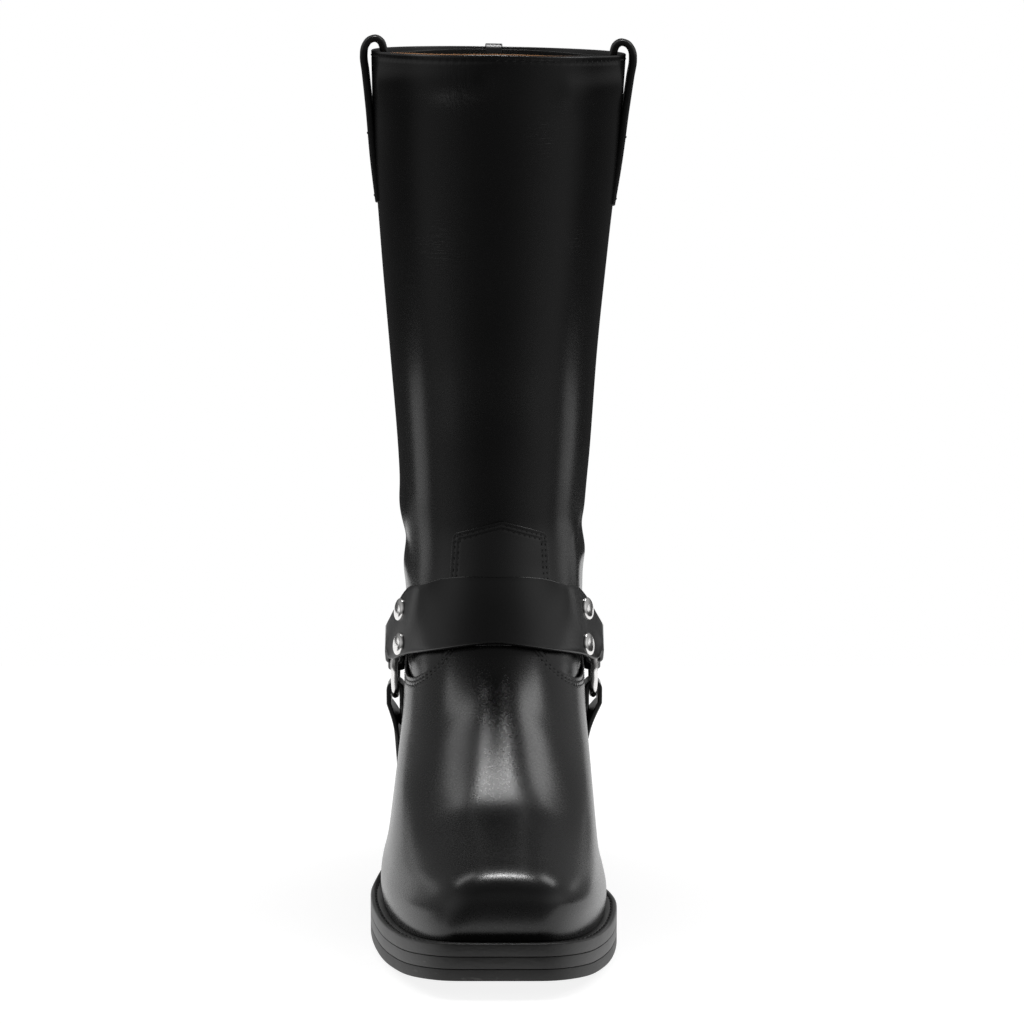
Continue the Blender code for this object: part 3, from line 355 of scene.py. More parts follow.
# %% The last
class Last:
    """The upper's outer surface on a fine grid, with readings between its points."""

    def __init__(self, rows=460, half_count=400):
        self.rows = rows
        self.columns = 2 * half_count
        v = np.linspace(0.0, COLLAR_V, rows)
        ring = rings_along(v)
        skew = BALL_SKEW * (1 - ease(0.0, SKEW_V, v))[:, None]
        sides = [half_outline(ring, side, skew) for side in (-1, 1)]
        pairs = zip(*(zip(x, y) for x, y in sides))
        outlines = [closed_outline(left, right, half_count) for left, right in pairs]
        x, y = np.array(outlines).transpose(1, 0, 2)
        x, y = round_off_front(x, v), round_off_front(y, v)
        forward = (ring.back_y - y) / (ring.back_y - ring.front_y)
        plane = ring.back_z + (ring.front_z - ring.back_z) * forward
        back_rise = ring.back_z - seat(ring.back_y)
        front_rise = ring.front_z - seat(ring.front_y)
        low = seat(y) + back_rise + (front_rise - back_rise) * forward
        level = ease(0.0, LEVEL_V, v)[:, None]
        z = low + (plane - low) * level - RIM_TILT * x * ease(LEVEL_V, COLLAR_V, v)[:, None]
        crowned = (ease(0.0, TOE_FACE_V, v) * (1 - ease(TOE_TOP_V, LEVEL_V, v)))[:, None]
        x = x + RIDGE_LEAN * crowned * ease(LEAN_BACK_Y, TOE_Y, y)
        crown = TOE_CROWN * ((x - CROWN_X) ** 2 - CROWN_X**2) * ease(CROWN_BACK_Y, TOE_Y, y)
        z = z - crown * crowned + vamp_swell(x, y)
        self.points = np.stack([x, y, z], axis=2)
        along = np.roll(self.points, -1, axis=1) - np.roll(self.points, 1, axis=1)
        self.normals = unit(np.cross(along, np.gradient(self.points, axis=0)))
        steps = np.linalg.norm(self.points - np.roll(self.points, 1, axis=1), axis=2)
        self.half_girths = steps.sum(axis=1) / 2

    def read(self, grid, u, v):
        """A grid's values at u and v, between its four nearest points."""
        u, v = np.broadcast_arrays(u, v)
        column = np.mod(u, 1.0) * self.columns
        row = np.clip(v, 0.0, COLLAR_V) / COLLAR_V * (self.rows - 1)
        left = np.floor(column + 1e-9).astype(int)
        low = np.minimum(np.floor(row + 1e-9).astype(int), self.rows - 2)
        across = (column - left)[..., None]
        up = (row - low)[..., None]
        right = (left + 1) % self.columns
        left = left % self.columns
        bottom = grid[low, left] * (1 - across) + grid[low, right] * across
        top = grid[low + 1, left] * (1 - across) + grid[low + 1, right] * across
        return bottom * (1 - up) + top * up

    def at(self, u, v, offset=0.0):
        """Points at u and v, moved by offset along the surface's normal, and straight up above the collar."""
        u, v, offset = np.broadcast_arrays(*(np.asarray(value, float) for value in (u, v, offset)))
        points = self.read(self.points, u, v) + self.read(self.normals, u, v) * offset[..., None]
        points[..., 2] += np.maximum(v - COLLAR_V, 0.0)
        return points

    def normal(self, u, v):
        """The outward normal at u and v."""
        return unit(self.read(self.normals, u, v))

    def half_girth(self, v):
        """Length of one ring from back to front, on average over both sides."""
        return np.interp(v, np.linspace(0.0, COLLAR_V, self.rows), self.half_girths)

    def round_front(self, u, v):
        """Millimetres round the boot from the front line, to the medial side where positive."""
        return (np.mod(u, 1.0) - 0.5) * 2 * self.half_girth(v)

    def level(self, u, z, offset):
        """Points at one u and at heights z over the floor, moved by offset along the normal."""
        v = np.linspace(0.0, COLLAR_V, self.rows)
        column = self.read(self.points, np.full_like(v, u), v)
        return self.at(u, np.interp(z, column[:, 2], v), offset)

    def nearest(self, side, y, z):
        """The place u, v on one side of the boot that lies nearest to y and z."""
        off = (self.points[..., 1] - y) ** 2 + (self.points[..., 2] - z) ** 2
        off = np.where(self.points[..., 0] * side > 0, off, np.inf)
        row, column = np.unravel_index(np.argmin(off), off.shape)
        return column / self.columns, row / (self.rows - 1) * COLLAR_V

    def beside(self, u, v, distance):
        """A closed line on the surface moved sideways by a distance, to the left of its own way as seen from
        outside: the sideways direction is split into the surface's two slopes, a pair of equations."""
        points = self.at(u, v)
        ahead = np.roll(points, -1, axis=0) - np.roll(points, 1, axis=0)
        side = unit(np.cross(self.normal(u, v), ahead))
        du, dv = 0.001, 0.5
        slope_u = (self.at(u + du, v) - self.at(u - du, v)) / (2 * du)
        slope_v = (self.at(u, v + dv) - self.at(u, v - dv)) / (2 * dv)
        pairs = ((slope_u, slope_u), (slope_u, slope_v), (slope_v, slope_v))
        uu, uv, vv = [(a * b).sum(axis=-1) for a, b in pairs]
        side_u = (slope_u * side).sum(axis=-1)
        side_v = (slope_v * side).sum(axis=-1)
        whole = uu * vv - uv**2
        step_u = (vv * side_u - uv * side_v) / whole
        step_v = (uu * side_v - uv * side_u) / whole
        reach = int(1.5 * abs(distance)) + 2
        step_u, step_v = blur_round(step_u, reach), blur_round(step_v, reach)
        return u + step_u * distance, v + step_v * distance


last = Last()
print("last: %d x %d points" % last.points.shape[:2])

# %% [markdown]
# ## Putting a surface into a mesh
#
# Every piece is a grid of points, computed as whole arrays. Its faces are the cells of that grid, and a
# piece with poles or flat ends gets a few faces more. A loop could add the vertices one by one, but
# foreach_set hands whole arrays to the mesh and is much quicker. Each piece rides on the boot's one
# body. All but the stitches hide the solid that they stand for.


# %% Mesh helpers
def grid_cells(rows, columns, close_rows=False, close_columns=False):
    """Corner numbers of a grid's four-sided cells. A closed direction joins its last line to its first."""
    index = np.arange(rows * columns).reshape(rows, columns)
    if close_rows:
        index = np.concatenate([index, index[:1]])
    if close_columns:
        index = np.concatenate([index, index[:, :1]], axis=1)
    corners = [index[:-1, :-1], index[:-1, 1:], index[1:, 1:], index[1:, :-1]]
    return np.stack(corners, axis=-1).reshape(-1, 4)


def add_piece(name, points, faces, material, slot, replaces=(), sharp=180.0):
    """A mesh from points in millimetres and arrays of face corners, smooth up to a sharp angle."""
    points = np.asarray(points).reshape(-1, 3)
    faces = [np.asarray(face) for face in faces]
    corners = np.concatenate([face.ravel() for face in faces])
    sizes = np.concatenate([np.full(len(face), face.shape[1]) for face in faces])
    mesh = bpy.data.meshes.new(name)
    mesh.vertices.add(len(points))
    mesh.vertices.foreach_set("co", (points * MM).astype(np.float32).ravel())
    mesh.loops.add(len(corners))
    mesh.loops.foreach_set("vertex_index", corners.astype(np.int32))
    mesh.polygons.add(len(sizes))
    mesh.polygons.foreach_set("loop_start", np.concatenate([[0], np.cumsum(sizes)[:-1]]).astype(np.int32))
    mesh.update(calc_edges=True)
    mesh.validate()
    mesh.shade_smooth()
    mesh.set_sharp_from_angle(angle=np.radians(sharp))
    mesh.materials.append(material)
    piece = add_object(name, mesh)
    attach(piece, "root")
    if replaces:
        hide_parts(*replaces)
    print("%s: %d triangles" % (name, (sizes - 2).sum()))


# %% [markdown]
# ## Finishes
#
# The boot has dyed leather, paler leather inside, waxed sole edges, rubber, thread and nickel. Each
# finish is a principled shader with a little variation. Photographs of leather could be laid over the
# pieces, but patterns worked out in space need no unwrapping and show no seams. Shader sums are written
# as Python expressions: a Value wraps one socket, and arithmetic on it adds Math nodes. All patterns
# read Object coordinates, which are the boot's own metres here, because every piece sits at the origin.


# %% Shader values
class Value:
    """A number or colour that changes over the surface: one output socket of some nodes."""

    def __init__(self, nodes, socket):
        self.nodes = nodes
        self.socket = socket

    def math(self, operation, first, second):
        """A Math node on two values, of which either may be a plain number."""
        return self.nodes.node("ShaderNodeMath", {"operation": operation}, {0: first, 1: second})

    def __add__(self, other):
        return self.math("ADD", self, other)

    def __sub__(self, other):
        return self.math("SUBTRACT", self, other)

    def __rsub__(self, other):
        return self.math("SUBTRACT", other, self)

    def __mul__(self, other):
        return self.math("MULTIPLY", self, other)

    __radd__ = __add__
    __rmul__ = __mul__


class Nodes:
    """The nodes of a material or of the room, with one method that adds any node."""

    def __init__(self, tree):
        self.tree = tree

    def node(self, kind, settings, inputs, output=0):
        """Adds a node: its settings first, then the values or links of its sockets."""
        made = self.tree.nodes.new(kind)
        for name, value in settings.items():
            if name == "stops":
                for stop, (place, colour) in zip(made.color_ramp.elements, value):
                    stop.position = place
                    stop.color = colour
            else:
                setattr(made, name, value)
        for name, value in inputs.items():
            self.link(value, made.inputs[name])
        return Value(self, made.outputs[output]) if output is not None else None

    def link(self, value, socket):
        """Feeds a socket from a Value, or sets it to a plain number or colour."""
        if isinstance(value, Value):
            self.tree.links.new(value.socket, socket)
        else:
            socket.default_value = value

    def ramp(self, share, stops):
        """A colour between a ramp's stops, by a share."""
        return self.node("ShaderNodeValToRGB", {"stops": stops}, {"Fac": share})

    def between(self, value, low, high, top=1.0, kind="LINEAR"):
        """Zero up to low and top from high on, in a straight line or a smooth one between them."""
        span = {"Value": value, "From Min": low, "From Max": high, "To Max": top}
        return self.node("ShaderNodeMapRange", {"interpolation_type": kind}, span)


class Finish(Nodes):
    """One material with its principled shader, and the patterns that feed it."""

    def __init__(self, name, constants):
        self.material = bpy.data.materials.new(name)
        self.material.use_nodes = True
        super().__init__(self.material.node_tree)
        self.shader = self.tree.nodes["Principled BSDF"]
        for socket, value in constants.items():
            self.shader.inputs[socket].default_value = value

    def feed(self, socket, value):
        """Feeds one of the shader's own sockets."""
        self.link(value, self.shader.inputs[socket])

    def place(self):
        """The boot's own coordinates, in metres."""
        return self.node("ShaderNodeTexCoord", {}, {}, "Object")

    def noise(self, scale, detail=2.0, stretch=(1.0, 1.0, 1.0)):
        """Soft noise from 0 to 1, with scale in spots per metre and a stretch along each axis."""
        mapped = self.node("ShaderNodeMapping", {}, {"Vector": self.place(), "Scale": stretch})
        return self.node("ShaderNodeTexNoise", {}, {"Vector": mapped, "Scale": scale, "Detail": detail})

    def mix(self, share, first, second):
        """A colour between two, by a share."""
        return self.node("ShaderNodeMix", {"data_type": "RGBA"}, {0: share, 6: first, 7: second}, 2)

    def near(self, centre, radius):
        """One at a centre in millimetres, and zero a radius in millimetres away from it."""
        middle = tuple(value * MM for value in centre)
        ends = {0: self.place(), 1: middle}
        away = self.node("ShaderNodeVectorMath", {"operation": "DISTANCE"}, ends, "Value")
        return self.between(away, radius * MM, 0.0, kind="SMOOTHSTEP")

    def bump(self, height, depth):
        """Feeds the normal from a height of 0 to 1, depth millimetres high."""
        self.feed("Normal", self.node("ShaderNodeBump", {}, {"Height": height, "Distance": depth * MM}))


# %% Leather
Wrinkles = namedtuple("Wrinkles", "centre radius stretch")
FINE_WRINKLES = (
    Wrinkles((-12.0, -8.0, 341.0), 22.0, (3.0, 3.0, 0.35)),
    Wrinkles((22.0, 0.0, 321.0), 24.0, (0.3, 0.6, 4.0)),
    Wrinkles((-26.0, 8.0, 274.0), 20.0, (0.3, 0.6, 4.0)),
    Wrinkles((36.0, 14.0, 276.0), 16.0, (0.3, 0.6, 4.0)),
)
WRINKLE_HEIGHT = 9.0


def leather_finish(name, shade, roughness, grain_depth, wrinkled=()):
    """Smooth dyed leather: fine pores, clouds of slightly different gloss, and fine wrinkles in places."""
    finish = Finish(name, {"Specular IOR Level": 0.5, "Coat Roughness": 0.2, "Coat Weight": 0.12})
    cloud = finish.noise(26.0, 3.0)
    dark = (shade * 0.8, shade * 0.8, shade * 0.84, 1.0)
    light = (shade * 1.25, shade * 1.25, shade * 1.3, 1.0)
    finish.feed("Base Color", finish.ramp(cloud, ((0.3, dark), (0.75, light))))
    pores = finish.node("ShaderNodeTexVoronoi", {}, {"Vector": finish.place(), "Scale": 950.0}, "Distance")
    fibre = finish.noise(420.0, 4.0)
    height = pores * 0.5 + fibre * 0.5
    for place in wrinkled:
        lines = finish.noise(260.0, 3.0, place.stretch)
        height = height + lines * finish.near(place.centre, place.radius) * WRINKLE_HEIGHT
    finish.feed("Roughness", roughness - 0.06 + cloud * 0.08 + pores * 0.05)
    finish.bump(height, grain_depth)
    return finish.material


upper_leather = leather_finish("upper_leather", 0.004, 0.27, 0.025, FINE_WRINKLES)
strap_leather = leather_finish("strap_leather", 0.004, 0.32, 0.035)

# %% Lining and insole leather
FACING_FOOT = (0.3258, 0.3262)
TAN_EDGE = (0.3518, 0.3524)


def lining_finish():
    """Natural lining leather: pale and matt, with a black facing below the collar and a tan cut edge."""
    finish = Finish("lining_leather", {"Specular IOR Level": 0.3})
    stops = ((0.3, (0.42, 0.36, 0.30, 1.0)), (0.7, (0.55, 0.49, 0.42, 1.0)))
    face = finish.ramp(finish.noise(60.0, 4.0), stops)
    height = finish.node("ShaderNodeSeparateXYZ", {}, {"Vector": finish.place()}, "Z")
    edge = finish.between(height, *TAN_EDGE)
    facing = finish.between(height, *FACING_FOOT)
    black = (0.008, 0.008, 0.008, 1.0)
    tan = (0.42, 0.20, 0.08, 1.0)
    finish.feed("Base Color", finish.mix(edge, finish.mix(facing, face, black), tan))
    finish.feed("Roughness", 0.6 + finish.noise(200.0) * 0.15 - facing * 0.22)
    finish.bump(finish.noise(900.0, 3.0), 0.06)
    return finish.material


def insole_finish():
    """Plain tan insole leather with soft clouds."""
    finish = Finish("insole_leather", {"Specular IOR Level": 0.3})
    stops = ((0.3, (0.36, 0.23, 0.13, 1.0)), (0.7, (0.47, 0.31, 0.18, 1.0)))
    finish.feed("Base Color", finish.ramp(finish.noise(70.0, 4.0), stops))
    finish.feed("Roughness", 0.6 + finish.noise(200.0) * 0.15)
    finish.bump(finish.noise(800.0, 3.0), 0.06)
    return finish.material


lining_leather = lining_finish()
insole_leather = insole_finish()

# %% Sole, thread and metal
SCUFF_RANGE = (0.66, 0.74, 0.6)
SCUFF_COLOUR = (0.07, 0.068, 0.066, 1.0)


def sole_finish(name, shade, roughness, lines):
    """Waxed sole edge or rubber: near black, with lines along the layers where a stack of leather shows."""
    finish = Finish(name, {"Specular IOR Level": 0.4})
    cloud = finish.noise(90.0, 4.0)
    dark = (shade * 0.7, shade * 0.68, shade * 0.66, 1.0)
    light = (shade * 1.3, shade * 1.28, shade * 1.25, 1.0)
    face = finish.ramp(cloud, ((0.3, dark), (0.7, light)))
    scuffs = finish.between(finish.noise(160.0, 5.0, (1.0, 1.0, 2.5)), *SCUFF_RANGE)
    finish.feed("Base Color", finish.mix(scuffs, face, SCUFF_COLOUR))
    finish.feed("Roughness", roughness - 0.05 + cloud * 0.12 + scuffs * 0.1)
    grain = finish.noise(300.0, 4.0, (1.0, 1.0, lines))
    finish.bump(grain * 0.6 + finish.noise(1200.0) * 0.4, 0.10)
    return finish.material


def thread_finish():
    """Waxed black thread: matt, with a fine twist."""
    finish = Finish("thread", {"Specular IOR Level": 0.35})
    twist = finish.noise(1500.0)
    stops = ((0.3, (0.006, 0.006, 0.006, 1.0)), (0.7, (0.014, 0.014, 0.014, 1.0)))
    finish.feed("Base Color", finish.ramp(twist, stops))
    finish.feed("Roughness", 0.5 + twist * 0.2)
    return finish.material


def metal_finish():
    """Polished nickel: bright, with faint polishing marks."""
    finish = Finish("polished_nickel", {"Metallic": 1.0})
    marks = finish.noise(700.0, 3.0)
    stops = ((0.3, (0.80, 0.79, 0.78, 1.0)), (0.7, (0.88, 0.87, 0.86, 1.0)))
    finish.feed("Base Color", finish.ramp(marks, stops))
    finish.feed("Roughness", 0.12 + marks * 0.08)
    return finish.material


sole_edge = sole_finish("sole_edge", 0.016, 0.40, 3.0)
sole_rubber = sole_finish("sole_rubber", 0.016, 0.5, 1.0)
heel_stack = sole_finish("heel_stack", 0.012, 0.36, 6.0)
thread = thread_finish()
nickel = metal_finish()
print("finishes:", ", ".join(material.name for material in bpy.data.materials))

# %% [markdown]
# ## Creases
#
# A new boot has few creases. The ankle has a pinch and a bulge on each side, a few slow folds run round
# its back, and two soft bands lie below the collar. They could be sculpted with a brush. Here each is a
# soft trough or ridge along a line on the leather, because a table of them is easy to read and to
# change.

# %% Crease table
Crease = namedtuple("Crease", "from_round from_v to_round to_v width depth")
CREASES = (
    Crease(-58.0, 200.0, -112.0, 207.0, 5.5, -0.7),
    Crease(-54.0, 213.0, -104.0, 221.0, 7.0, 0.8),
    Crease(-56.0, 187.0, -100.0, 191.0, 7.0, 0.8),
    Crease(58.0, 207.0, 112.0, 210.0, 5.5, -0.8),
    Crease(56.0, 195.0, 104.0, 196.0, 6.0, 0.9),
    Crease(46.0, 204.0, 54.0, 172.0, 5.0, 0.8),
    Crease(104.0, 200.0, 166.0, 205.0, 9.0, -0.8),
    Crease(112.0, 216.0, 190.0, 212.0, 10.0, 0.6),
    Crease(138.0, 226.0, 196.0, 232.0, 9.0, -0.5),
    Crease(122.0, 186.0, 184.0, 191.0, 9.0, 0.5),
    Crease(-64.0, 396.0, -8.0, 398.0, 8.0, 1.5),
    Crease(34.0, 394.0, 72.0, 396.0, 7.0, 1.3),
)


def crease_relief(u, v):
    """Sum of the creases: each adds its depth times a bell curve of the distance from its line."""
    girth = 2 * last.half_girth(v)
    round_front = last.round_front(u, v)
    total = np.zeros(np.broadcast(u, v).shape)
    for crease in CREASES:
        way = np.array([crease.to_round - crease.from_round, crease.to_v - crease.from_v])
        for turn in (-1, 0, 1):
            over = round_front + turn * girth - crease.from_round
            up = v - crease.from_v
            t = np.clip((over * way[0] + up * way[1]) / (way @ way), 0.0, 1.0)
            away = (over - t * way[0]) ** 2 + (up - t * way[1]) ** 2
            total += crease.depth * np.exp(-away / crease.width**2)
    return total


print("creases:", len(CREASES))

# %% [markdown]
# ## The vamp
#
# The vamp and counter wrap the foot from the welt up to a cut edge that dips in two scallops beside the
# instep. They could be cut out of the last with a Boolean, which leaves a ragged edge. Here the rows of
# the grid follow the edge at even distances near it, so that the rounded edge and the two sewn grooves
# below it are crisp. Further down they spread evenly to the feather line.

# %% Vamp edge
STEP = 1.2
STEP_FADE = 60.0
EDGE_GAP = 0.6
EDGE_GAP_REACH = 4.0
EdgePoint = namedtuple("EdgePoint", "share v")
EDGE = (
    EdgePoint(0.0, 165.0),
    EdgePoint(0.04, 165.0),
    EdgePoint(0.10, 163.0),
    EdgePoint(0.13, 154.5),
    EdgePoint(0.165, 146.4),
    EdgePoint(0.205, 140.0),
    EdgePoint(0.266, 133.8),
    EdgePoint(0.33, 131.0),
    EdgePoint(0.40, 132.6),
    EdgePoint(0.60, 139.6),
    EdgePoint(0.80, 147.0),
    EdgePoint(1.0, 156.0),
)
STITCH_PITCH = 2.4
STITCH_ROWS = (2.1, 3.9)
GROOVE_DEPTH = 0.28
GROOVE_WIDTH = 0.6
EDGE_PUCKER = 0.3


def from_front(u):
    """How far round a place lies: 0 on the front line and 1 at the back."""
    return np.abs(2 * np.mod(u, 1.0) - 1)


def edge_height(share):
    """Height of the vamp and counter edge at each share of the way round from the front."""
    return curve_through([p.share for p in EDGE], [p.v for p in EDGE], share)


def pucker(run, pitch, depth):
    """One at each stitch hole along a run, and less by twice the depth between holes: a cosine wave."""
    return 1 - depth + depth * np.cos(2 * np.pi * run / pitch)


def sewn_groove(distance, run):
    """Grooves that the stitch rows press into the leather: bell curves of the distance, puckered."""
    rows = [np.exp(-(((distance - row) / GROOVE_WIDTH) ** 2)) for row in STITCH_ROWS]
    return -GROOVE_DEPTH * pucker(run, STITCH_PITCH, EDGE_PUCKER) * sum(rows)


# %% Vamp
VAMP_COLUMNS = 620
VAMP_ROWS = 66
VAMP_THICKNESS = 1.2
EDGE_BAND = 7.0
EDGE_BAND_ROWS = 16
ROLL_ROWS = 9
UNDER_ROWS = 30
VAMP_TUCK = 1.0
OUTER_FACE = -0.1

vamp_u = np.arange(VAMP_COLUMNS) / VAMP_COLUMNS
vamp_edge = edge_height(from_front(vamp_u))
edge_points = last.at(vamp_u, vamp_edge)
vamp_run = run_along(np.concatenate([edge_points, edge_points[:1]]))
vamp_run = vamp_run[:-1] * np.round(vamp_run[-1] / STITCH_PITCH) * STITCH_PITCH / vamp_run[-1]


def vamp_row(distance, offset):
    """One row that follows the edge at a distance below it, with the grooves on the outer face alone."""
    u, v = last.beside(vamp_u, vamp_edge, -distance)
    return last.at(u, v, offset + sewn_groove(distance, vamp_run) * (offset > OUTER_FACE))


def add_vamp():
    """Outer rows from the feather line to the edge band, the band, a half round edge, and the underside."""
    roll = VAMP_THICKNESS / 2
    band_u, band_v = last.beside(vamp_u, vamp_edge, -EDGE_BAND)
    up = np.linspace(0.0, 1.0, VAMP_ROWS)[:, None]
    body = last.at(vamp_u + (band_u - vamp_u) * up, band_v * up)
    tuck = body[:1] - [0.0, 0.0, VAMP_TUCK]
    band = [vamp_row(distance, 0.0) for distance in np.linspace(EDGE_BAND, roll, EDGE_BAND_ROWS)[1:-1]]
    turns = np.linspace(0.0, np.pi, ROLL_ROWS)
    edge = [vamp_row(roll - roll * np.sin(turn), roll * np.cos(turn) - roll) for turn in turns]
    down = np.linspace(1.0, 0.0, UNDER_ROWS)[:, None]
    under = last.at(vamp_u + (band_u - vamp_u) * down, band_v * down, -VAMP_THICKNESS)
    rows = np.concatenate([tuck, body, band, edge, under])
    cells = grid_cells(len(rows), VAMP_COLUMNS, close_rows=True, close_columns=True)
    add_piece("vamp", rows, [cells], upper_leather, "black_leather", ["upper"])


add_vamp()

# %% [markdown]
# ## The shaft and its collar
#
# The shaft is the tube of leather round the leg. It rises from under the vamp, with a narrow gap beside
# the vamp's edge. It lies one leather thickness further in there and comes out again over some
# 60 mm. At the collar the leather is turned over a soft fold. A Solidify modifier could give the wall
# its thickness, but rows carried up the outside, round the fold and down the inside keep the fold
# round.

# %% Shaft
SHAFT_COLUMNS = 360
SHAFT_ROWS = 210
INNER_ROWS = 50
SHAFT_TUCK = 9.0
COLLAR_ROLL = 0.55
COLLAR_STITCH = 2.6
COLLAR_PITCH = 3.5
COLLAR_GROOVE = 0.45
COLLAR_GROOVE_WIDTH = 0.8
COLLAR_PUCKER = 0.4
CREASES_FROM = 4.0
CREASES_FULL = 16.0
ROW_CROWDING = 1.12
INNER_TOP = 0.985


def shaft_inset(above):
    """How far the shaft lies behind the vamp's surface, at a height above the edge: a step that fades, and a
    narrow gap beside the edge."""
    gap = EDGE_GAP * np.exp(-((np.maximum(above, 0.0) / EDGE_GAP_REACH) ** 2))
    return -STEP * (1 - ease(0.0, STEP_FADE, above)) - gap


def shaft_face(u, v):
    """The shaft's surface over the last: its step under the vamp, and its creases above that."""
    above = v - edge_height(from_front(u))
    return shaft_inset(above) + crease_relief(u, v) * ease(CREASES_FROM, CREASES_FULL, above)


def shaft_offset(u, v):
    """The same surface with the groove that the collar's stitches press in."""
    run = u * 2 * last.half_girth(COLLAR_V)
    from_row = (COLLAR_V - v - COLLAR_STITCH) / COLLAR_GROOVE_WIDTH
    groove = COLLAR_GROOVE * pucker(run, COLLAR_PITCH, COLLAR_PUCKER) * np.exp(-(from_row**2))
    return shaft_face(u, v) - groove


def add_shaft():
    """Outer rows from under the vamp to the collar, a half round fold, and the inner side."""
    u = np.arange(SHAFT_COLUMNS) / SHAFT_COLUMNS
    foot = edge_height(from_front(u)) - SHAFT_TUCK
    up = 1 - (1 - np.linspace(0.0, 1.0, SHAFT_ROWS)) ** ROW_CROWDING
    v = foot + up[:, None] * (COLLAR_V - COLLAR_ROLL - foot)
    outer = last.at(u, v, shaft_offset(u, v))
    turns = np.linspace(0.0, np.pi, ROLL_ROWS)[1:, None]
    fold_v = COLLAR_V - COLLAR_ROLL + COLLAR_ROLL * np.sin(turns)
    fold = last.at(u, fold_v, COLLAR_ROLL * np.cos(turns) - COLLAR_ROLL)
    down = np.linspace(INNER_TOP, 0.0, INNER_ROWS)[:, None]
    inner_v = foot + down * (COLLAR_V - COLLAR_ROLL - foot)
    inner = last.at(u, inner_v, shaft_offset(u, inner_v) - 2 * COLLAR_ROLL)
    rows = np.concatenate([outer, fold, inner])
    cells = grid_cells(len(rows), SHAFT_COLUMNS, close_rows=True, close_columns=True)
    add_piece("shaft", rows, [cells], upper_leather, "black_leather", ["upper"])


add_shaft()

# %% [markdown]
# ## The tongue of the vamp
#
# The tongue is the vamp's tip, sewn flat on the shaft's front, with a shallow point and two rounded
# corners. It could be a flat outline that a Shrinkwrap modifier lays on the shaft. A patch on a grid
# follows the outline more closely, because its lines crowd near the border, where the leather's cut
# edge is rounded and two rows of stitches press it down. The instep strap hides its foot.

# %% Tongue
TONGUE_MIDDLE = 3.2
TONGUE_HALF_WIDTH = 20.8
TONGUE_FLARE = 0.004
TONGUE_FOOT_V = 160.0
TONGUE_CORNER_V = 207.8
TONGUE_TIP_V = 213.8
TONGUE_CORNER = 2.0
TONGUE_ROUND = 0.5
TONGUE_BAND = 5.0
TONGUE_ROWS = (1.5, 3.3)
TONGUE_DEPTH = 1.8
TIP_ROUND = 1.0
TONGUE_LOW = 0.25
TONGUE_RISE = 0.7
RISE_FROM_V = 188.0
RISE_TO_V = 204.0
TONGUE_GROOVE = 0.32
TONGUE_GROOVE_WIDTH = 0.5
TONGUE_PUCKER = 0.4
FINE_STEP = 0.4


def tongue_proud(v):
    """Height of the tongue's surface over the last: low under the strap, a leather's thickness at the tip."""
    return TONGUE_LOW + TONGUE_RISE * ease(RISE_FROM_V, RISE_TO_V, v)


def tongue_top(across):
    """Height of the top edge: two straight slopes from a rounded tip to two round corners."""
    slope = (TONGUE_TIP_V - TONGUE_CORNER_V) / TONGUE_HALF_WIDTH
    fall = slope * (np.sqrt(across**2 + TIP_ROUND**2) - TIP_ROUND)
    corner = np.clip((np.abs(across) - TONGUE_HALF_WIDTH) / TONGUE_CORNER + 1, 0.0, 1.0)
    return TONGUE_TIP_V - fall - TONGUE_CORNER * (1 - np.sqrt(1 - corner**2))


def border_steps(radius, band, far, fine, coarse):
    """Distances from a border: a quarter circle's over the radius, fine ones over the band, then coarse."""
    bend = np.linspace(0.0, np.pi / 2, 7)
    near = radius * (1 - np.cos(bend))
    middle = np.linspace(radius, band, int((band - radius) / fine) + 1)[1:]
    return np.concatenate([near, middle, np.linspace(band, far, int((far - band) / coarse) + 1)[1:]])


def tongue_u(across, v):
    """Share of the way round for a distance across the tongue, whose sides flare a little downwards."""
    flare = 1 + TONGUE_FLARE * np.maximum(TONGUE_CORNER_V - v, 0.0)
    return 0.5 + (TONGUE_MIDDLE + across * flare) / (2 * last.half_girth(TONGUE_CORNER_V))


def add_tongue():
    """The patch over its outline, rounded near the border like a quarter circle, and closed underneath."""
    inward = TONGUE_HALF_WIDTH - border_steps(TONGUE_ROUND, TONGUE_BAND, TONGUE_HALF_WIDTH, FINE_STEP, 1.2)
    across = np.concatenate([-inward, inward[-2::-1]])
    top = tongue_top(across)
    below = border_steps(TONGUE_ROUND, TONGUE_BAND, TONGUE_TIP_V - TONGUE_FOOT_V, FINE_STEP, 1.6)[::-1, None]
    # Rows that would fall below the foot stay there, a hair apart.
    v = np.maximum(top - below, TONGUE_FOOT_V + 0.001 * (below.max() - below))
    slope = np.gradient(top, across)
    from_top = (top - v) / np.sqrt(1 + slope**2)
    from_side = TONGUE_HALF_WIDTH - np.abs(across) + 0 * v
    distance = np.minimum(from_top, from_side)
    run = np.where(from_top < from_side, across + 0 * v, v)
    rows = sum(np.exp(-(((distance - row) / TONGUE_GROOVE_WIDTH) ** 2)) for row in TONGUE_ROWS)
    groove = TONGUE_GROOVE * pucker(run, STITCH_PITCH, TONGUE_PUCKER) * rows
    inside = np.clip(TONGUE_ROUND - distance, 0.0, TONGUE_ROUND)
    rounding = np.sqrt(TONGUE_ROUND**2 - inside**2) - TONGUE_ROUND
    u = tongue_u(across, v)
    outer = last.at(u, v, tongue_proud(v) + rounding - groove)
    inner = last.at(u, v, -TONGUE_DEPTH)
    points = np.concatenate([outer.reshape(-1, 3), inner.reshape(-1, 3)])
    add_piece("tongue", points, patch_faces(*v.shape), upper_leather, "black_leather", ["upper"])


